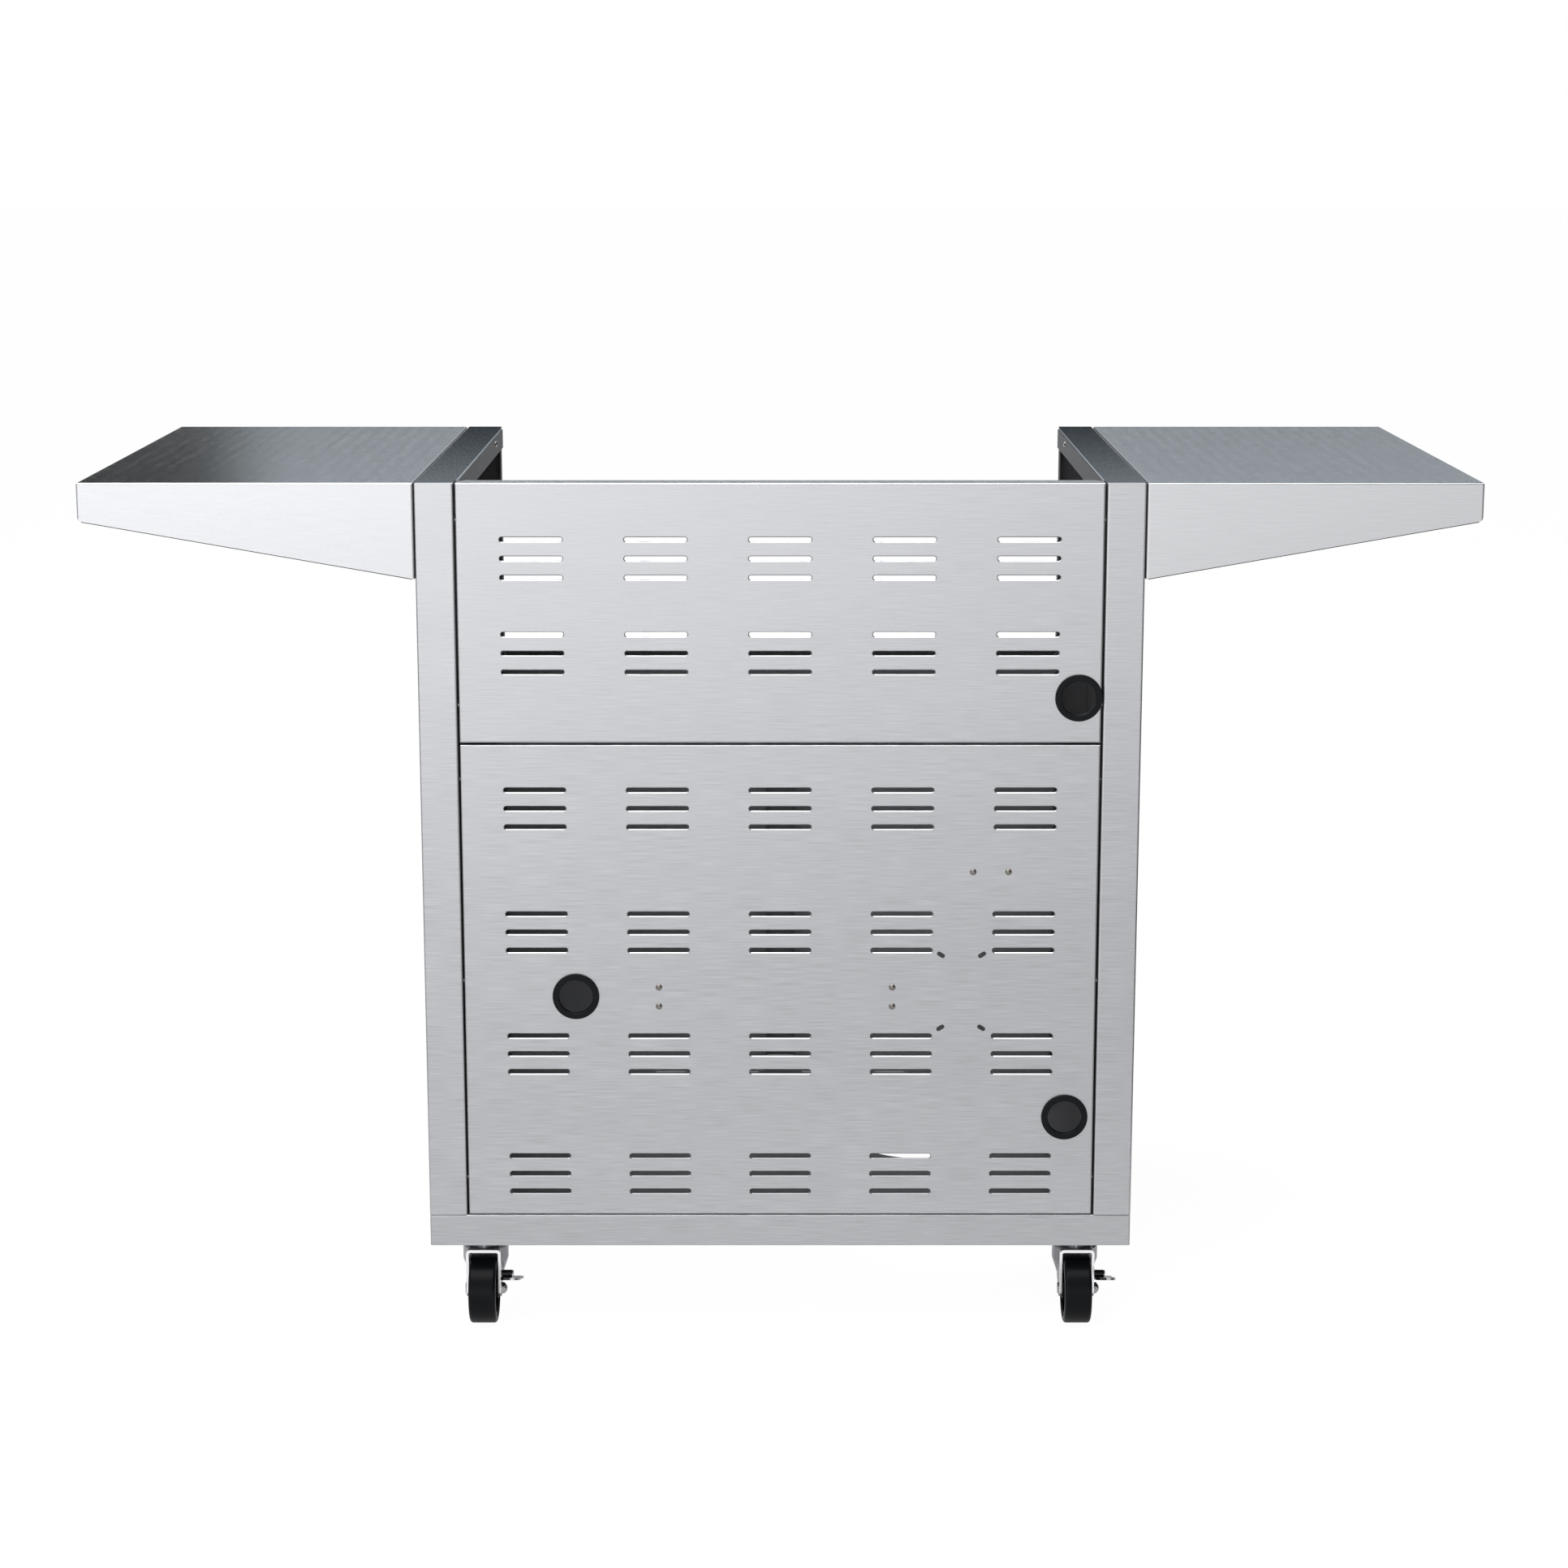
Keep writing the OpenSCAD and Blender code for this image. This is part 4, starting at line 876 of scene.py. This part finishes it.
@dataclass
class Studio:
    """A pale floor, soft lamps and the camera.

    Attributes:
        back: Y of the cart's back panels, in metres.
        top: height of the cart, in metres.
        away: distance of the camera behind the back panels.
        above: height of the camera over the cart's top.
        pitch: angle by which the camera looks down, in degrees.
        lens: focal length in millimetres.
        film: width of the camera's sensor in millimetres.
        sight: how far the camera sees.
        shift: sideways shift as a share of the picture's width.
        lean: how much brighter the room behind the camera grows towards +X.
        flag: the sine of the bearing towards +X where a dark flag begins and is full, beyond the cart.
        flag_share: how much of the room that flag hides.
        flag_tone: the flag's colour.
        horizon: the sine of the elevation where the white beyond the cart ends and the dark band begins.
        seam: the sine of the bearing, to both sides, in which the front room turns into the rear one.
        paper_edge: Y at which the paper behind the cart ends and the white floor round the camera begins.
        paper: half the paper's width at that edge and at its far end.
        far: distance of the floor's ends.
        beside: brightness in mirrors of the floor round the camera towards -X and towards +X.
        deep: Y from which that floor grows brighter in mirrors, and Y at which it is brightest.
        gain: how many times brighter it is there.
        white: strength at which the paper's own light looks white.
        lit: share of the paper's own light, beside the light that falls on it.
        aside: the sines of the bearing at which the room turns into its walls.
        walls: colours of the walls towards -X and +X.
        lamps: name, place, target, size and power of each lamp.
        front: colours of the room beyond the cart, by the sine of their elevation.
        behind: colours of the room behind the camera, likewise.
    """

    back: float = 0.3325
    top: float = 0.931
    away: float = 3.378
    above: float = 0.3826
    pitch: float = 11.74
    lens: float = 74.87
    film: float = 36.0
    sight: float = 200.0
    shift: float = 0.00243
    lean: float = 1.4
    paper_edge: float = 0.94
    paper: tuple[float, float] = (0.82, 13.0)
    far: float = 40.0
    beside: tuple[float, float] = (0.52, 0.96)
    deep: tuple[float, float] = (2.5, 6.5)
    gain: float = 5.9
    white: float = 1.075
    lit: float = 0.9
    aside: tuple[float, float] = (0.38, 0.72)
    walls: tuple[Vec, Vec] = ((0.02, 0.021, 0.024), (0.42, 0.43, 0.47))
    flag: tuple[float, float] = (0.150, 0.172)
    flag_share: float = 0.95
    flag_tone: Vec = (0.01, 0.01, 0.01)
    horizon: tuple[float, float] = (0.033, 0.045)
    seam: float = 0.25
    lamps: tuple[tuple[str, Vec, Vec, tuple[float, float], float], ...] = field(default=(
        ("top_softbox", (0.6, 1.0, 4.2), (0.0, 0.1, 0.0), (4.0, 4.0), 185.0),
    ))
    front: tuple[tuple[float, Vec], ...] = (
        (-1.0, (1.0, 1.0, 1.0)), (horizon[0], (1.0, 1.0, 1.0)), (horizon[1], (0.018, 0.022, 0.028)),
        (0.097, (0.014, 0.018, 0.022)), (0.156, (0.69, 0.77, 0.83)), (0.40, (0.56, 0.60, 0.64)),
        (0.60, (0.16, 0.16, 0.17)), (1.0, (0.10, 0.10, 0.10)))
    behind: tuple[tuple[float, Vec], ...] = (
        (-1.0, (1.0, 1.0, 1.0)), (0.0, (1.8, 1.8, 1.82)), (0.12, (1.8, 1.8, 1.82)),
        (0.30, (1.2, 1.2, 1.22)), (0.50, (0.6, 0.6, 0.62)), (0.8, (0.12, 0.12, 0.12)),
        (1.0, (0.10, 0.10, 0.10)))

    def camera(self) -> None:
        """Sets the camera at the photograph's place and angle."""
        data = bpy.data.cameras.new("studio_camera")
        data.lens = self.lens
        data.sensor_width = self.film
        data.sensor_fit = "HORIZONTAL"
        data.shift_x = self.shift
        data.clip_end = self.sight
        item = bpy.data.objects.new("studio_camera", data)
        item.location = (0.0, self.back + self.away, self.top + self.above)
        item.rotation_euler = (math.radians(90.0 - self.pitch), 0.0, math.pi)
        bpy.context.scene.collection.objects.link(item)
        bpy.context.scene.camera = item

    def world(self) -> None:
        """Sets the room: white near the horizon, dimmer overhead, with a dark band between.

        The camera sees only white. What the room's light and the mirrors see is worked out from the
        direction: bands by the sine of the elevation, in front and behind, and a wall on each side.
        """
        world = bpy.data.worlds.new("studio_room")
        bpy.context.scene.world = world
        world.use_nodes = True
        g = Graph(world.node_tree)
        out = g.node("ShaderNodeOutputWorld")
        light = g.node("ShaderNodeBackground")
        way = g.node("ShaderNodeSeparateXYZ")
        g.feed(way.inputs[0], g.node("ShaderNodeTexCoord").outputs["Generated"])
        x, y, z = way.outputs

        def banded(stops: tuple[tuple[float, Vec], ...]) -> bpy.types.NodeSocket:
            """Colours the room by the sine of the elevation, from one stop to the next.

            Args:
                stops: each stop's sine and colour.

            Returns:
                The colour's socket.
            """
            band: object = (*stops[0][1], 1.0)
            for (low, _), (high, colour) in zip(stops, stops[1:]):
                band = g.mix_colour(g.spread(z, low, high), band, (*colour, 1.0))
            return band

        lean = g.math("ADD", 1.0, g.math("MULTIPLY", x, self.lean))
        behind = g.vector("SCALE", banded(self.behind), lean)
        hidden = g.math("MULTIPLY", g.spread(x, *self.flag, 0.0, self.flag_share), g.spread(z, *self.horizon))
        beyond = g.mix_colour(hidden, banded(self.front), (*self.flag_tone, 1.0))
        room = g.mix_colour(g.spread(y, -self.seam, self.seam), beyond, behind)
        for wall, bearing in zip(self.walls, (g.math("MULTIPLY", x, -1.0), x)):
            room = g.mix_colour(g.spread(bearing, *self.aside), room, (*wall, 1.0))
        seen = g.node("ShaderNodeLightPath").outputs["Is Camera Ray"]
        g.feed(light.inputs["Color"], g.mix_colour(seen, room, (1.0, 1.0, 1.0, 1.0)))
        light.inputs["Strength"].default_value = 1.0
        g.feed(out.inputs["Surface"], light.outputs[0])

    def slab(self, name: str, corners: tuple[tuple[float, float], ...], material: bpy.types.Material) -> None:
        """Lays a flat sheet on the floor.

        Args:
            name: the object's name.
            corners: its corners seen from above, counterclockwise.
            material: its material.
        """
        mesh = bpy.data.meshes.new(name)
        mesh.from_pydata([(x, y, 0.0) for x, y in corners], [], [tuple(range(len(corners)))])
        mesh.materials.append(material)
        item = bpy.data.objects.new(name, mesh)
        bpy.context.scene.collection.objects.link(item)

    def sheet(self, name: str, beside: tuple[float, float], matt: float = 0.92,
              mirrored: float = 0.5) -> bpy.types.Material:
        """Makes paper that the camera sees as even white.

        Args:
            name: the material's name.
            beside: its brightness in mirrors one metre or more towards -X and towards +X.
            matt: the brightness of its matt surface, on which the cart's shadow falls.
            mirrored: the even white's share in mirror reflections, which keep that shadow.

        Returns:
            The material.
        """
        material = bpy.data.materials.new(name)
        material.use_nodes = True
        g = Graph(material.node_tree)
        out = g.node("ShaderNodeOutputMaterial")
        paper = g.node("ShaderNodeBsdfDiffuse")
        paper.inputs["Color"].default_value = (matt, matt, matt, 1.0)
        white = g.node("ShaderNodeEmission")
        white.inputs["Color"].default_value = (1.0, 1.0, 1.0, 1.0)
        where = g.node("ShaderNodeSeparateXYZ")
        g.feed(where.inputs[0], g.node("ShaderNodeTexCoord").outputs["Object"])
        path = g.node("ShaderNodeLightPath")
        across = g.spread(where.outputs[0], -1.0, 1.0, *(self.white * side for side in beside))
        mirror = g.math("MULTIPLY", across, g.spread(where.outputs[1], *self.deep, 1.0, self.gain))
        g.feed(white.inputs["Strength"], g.mix(path.outputs["Is Camera Ray"], mirror, self.white))
        clear = g.math("ADD", path.outputs["Is Camera Ray"], path.outputs["Is Transmission Ray"])
        seen = g.math("ADD", clear, g.math("MULTIPLY", path.outputs["Is Glossy Ray"], mirrored), clamp=True)
        blend = g.node("ShaderNodeMixShader")
        g.feed(blend.inputs[0], g.math("MULTIPLY", seen, self.lit))
        g.feed(blend.inputs[1], paper.outputs[0])
        g.feed(blend.inputs[2], white.outputs[0])
        g.feed(out.inputs["Surface"], blend.outputs[0])
        return material

    def floor(self) -> None:
        """Lays white paper under the cart and in view, and other floor round it and the camera."""
        near, end = self.paper
        edge, far = self.paper_edge, self.far
        self.slab("studio_paper", ((-end, -far), (end, -far), (near, edge), (-near, edge)),
                  self.sheet("floor_paper", (1.0, 1.0)))
        self.slab("studio_floor", ((-far, edge), (far, edge), (far, far), (-far, far)),
                  self.sheet("floor_shaded", self.beside))
        self.slab("studio_right_side", ((-far, -far), (-end, -far), (-near, edge), (-far, edge)),
                  self.sheet("floor_dark", (1.0, 1.0), 0.05, 0.0))
        self.slab("studio_left_side", ((end, -far), (far, -far), (far, edge), (near, edge)),
                  self.sheet("floor_dim", (1.0, 1.0), 0.6, 0.0))

    def light(self) -> None:
        """Hangs the soft lamps, each turned to the point that it lights."""
        for name, place, target, size, watts in self.lamps:
            data = bpy.data.lights.new(name, "AREA")
            data.shape = "RECTANGLE"
            data.size, data.size_y = size
            data.energy = watts
            item = bpy.data.objects.new(name, data)
            item.location = place
            aim = np.array(target) - np.array(place)
            flat = math.hypot(aim[0], aim[1])
            item.rotation_euler = (math.atan2(flat, -aim[2]), 0.0, math.atan2(aim[1], aim[0]) - math.pi / 2)
            bpy.context.scene.collection.objects.link(item)

    def build(self) -> None:
        """Sets the whole studio."""
        bpy.context.scene.view_settings.view_transform = "Standard"
        self.camera()
        self.world()
        self.floor()
        self.light()


def main() -> None:
    """Builds and dresses the cart, in the order in which it goes together."""
    logging.basicConfig(level=logging.INFO, format="%(name)s: %(message)s")
    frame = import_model()
    finishes = Finishes()
    Studio().build()
    for part in (Cabinet, BackPanels, Shelves, Doors, Casters):
        part(frame, finishes).build()
        LOG.info("%s done", part.__name__)


if __name__ == "__main__":
    main()
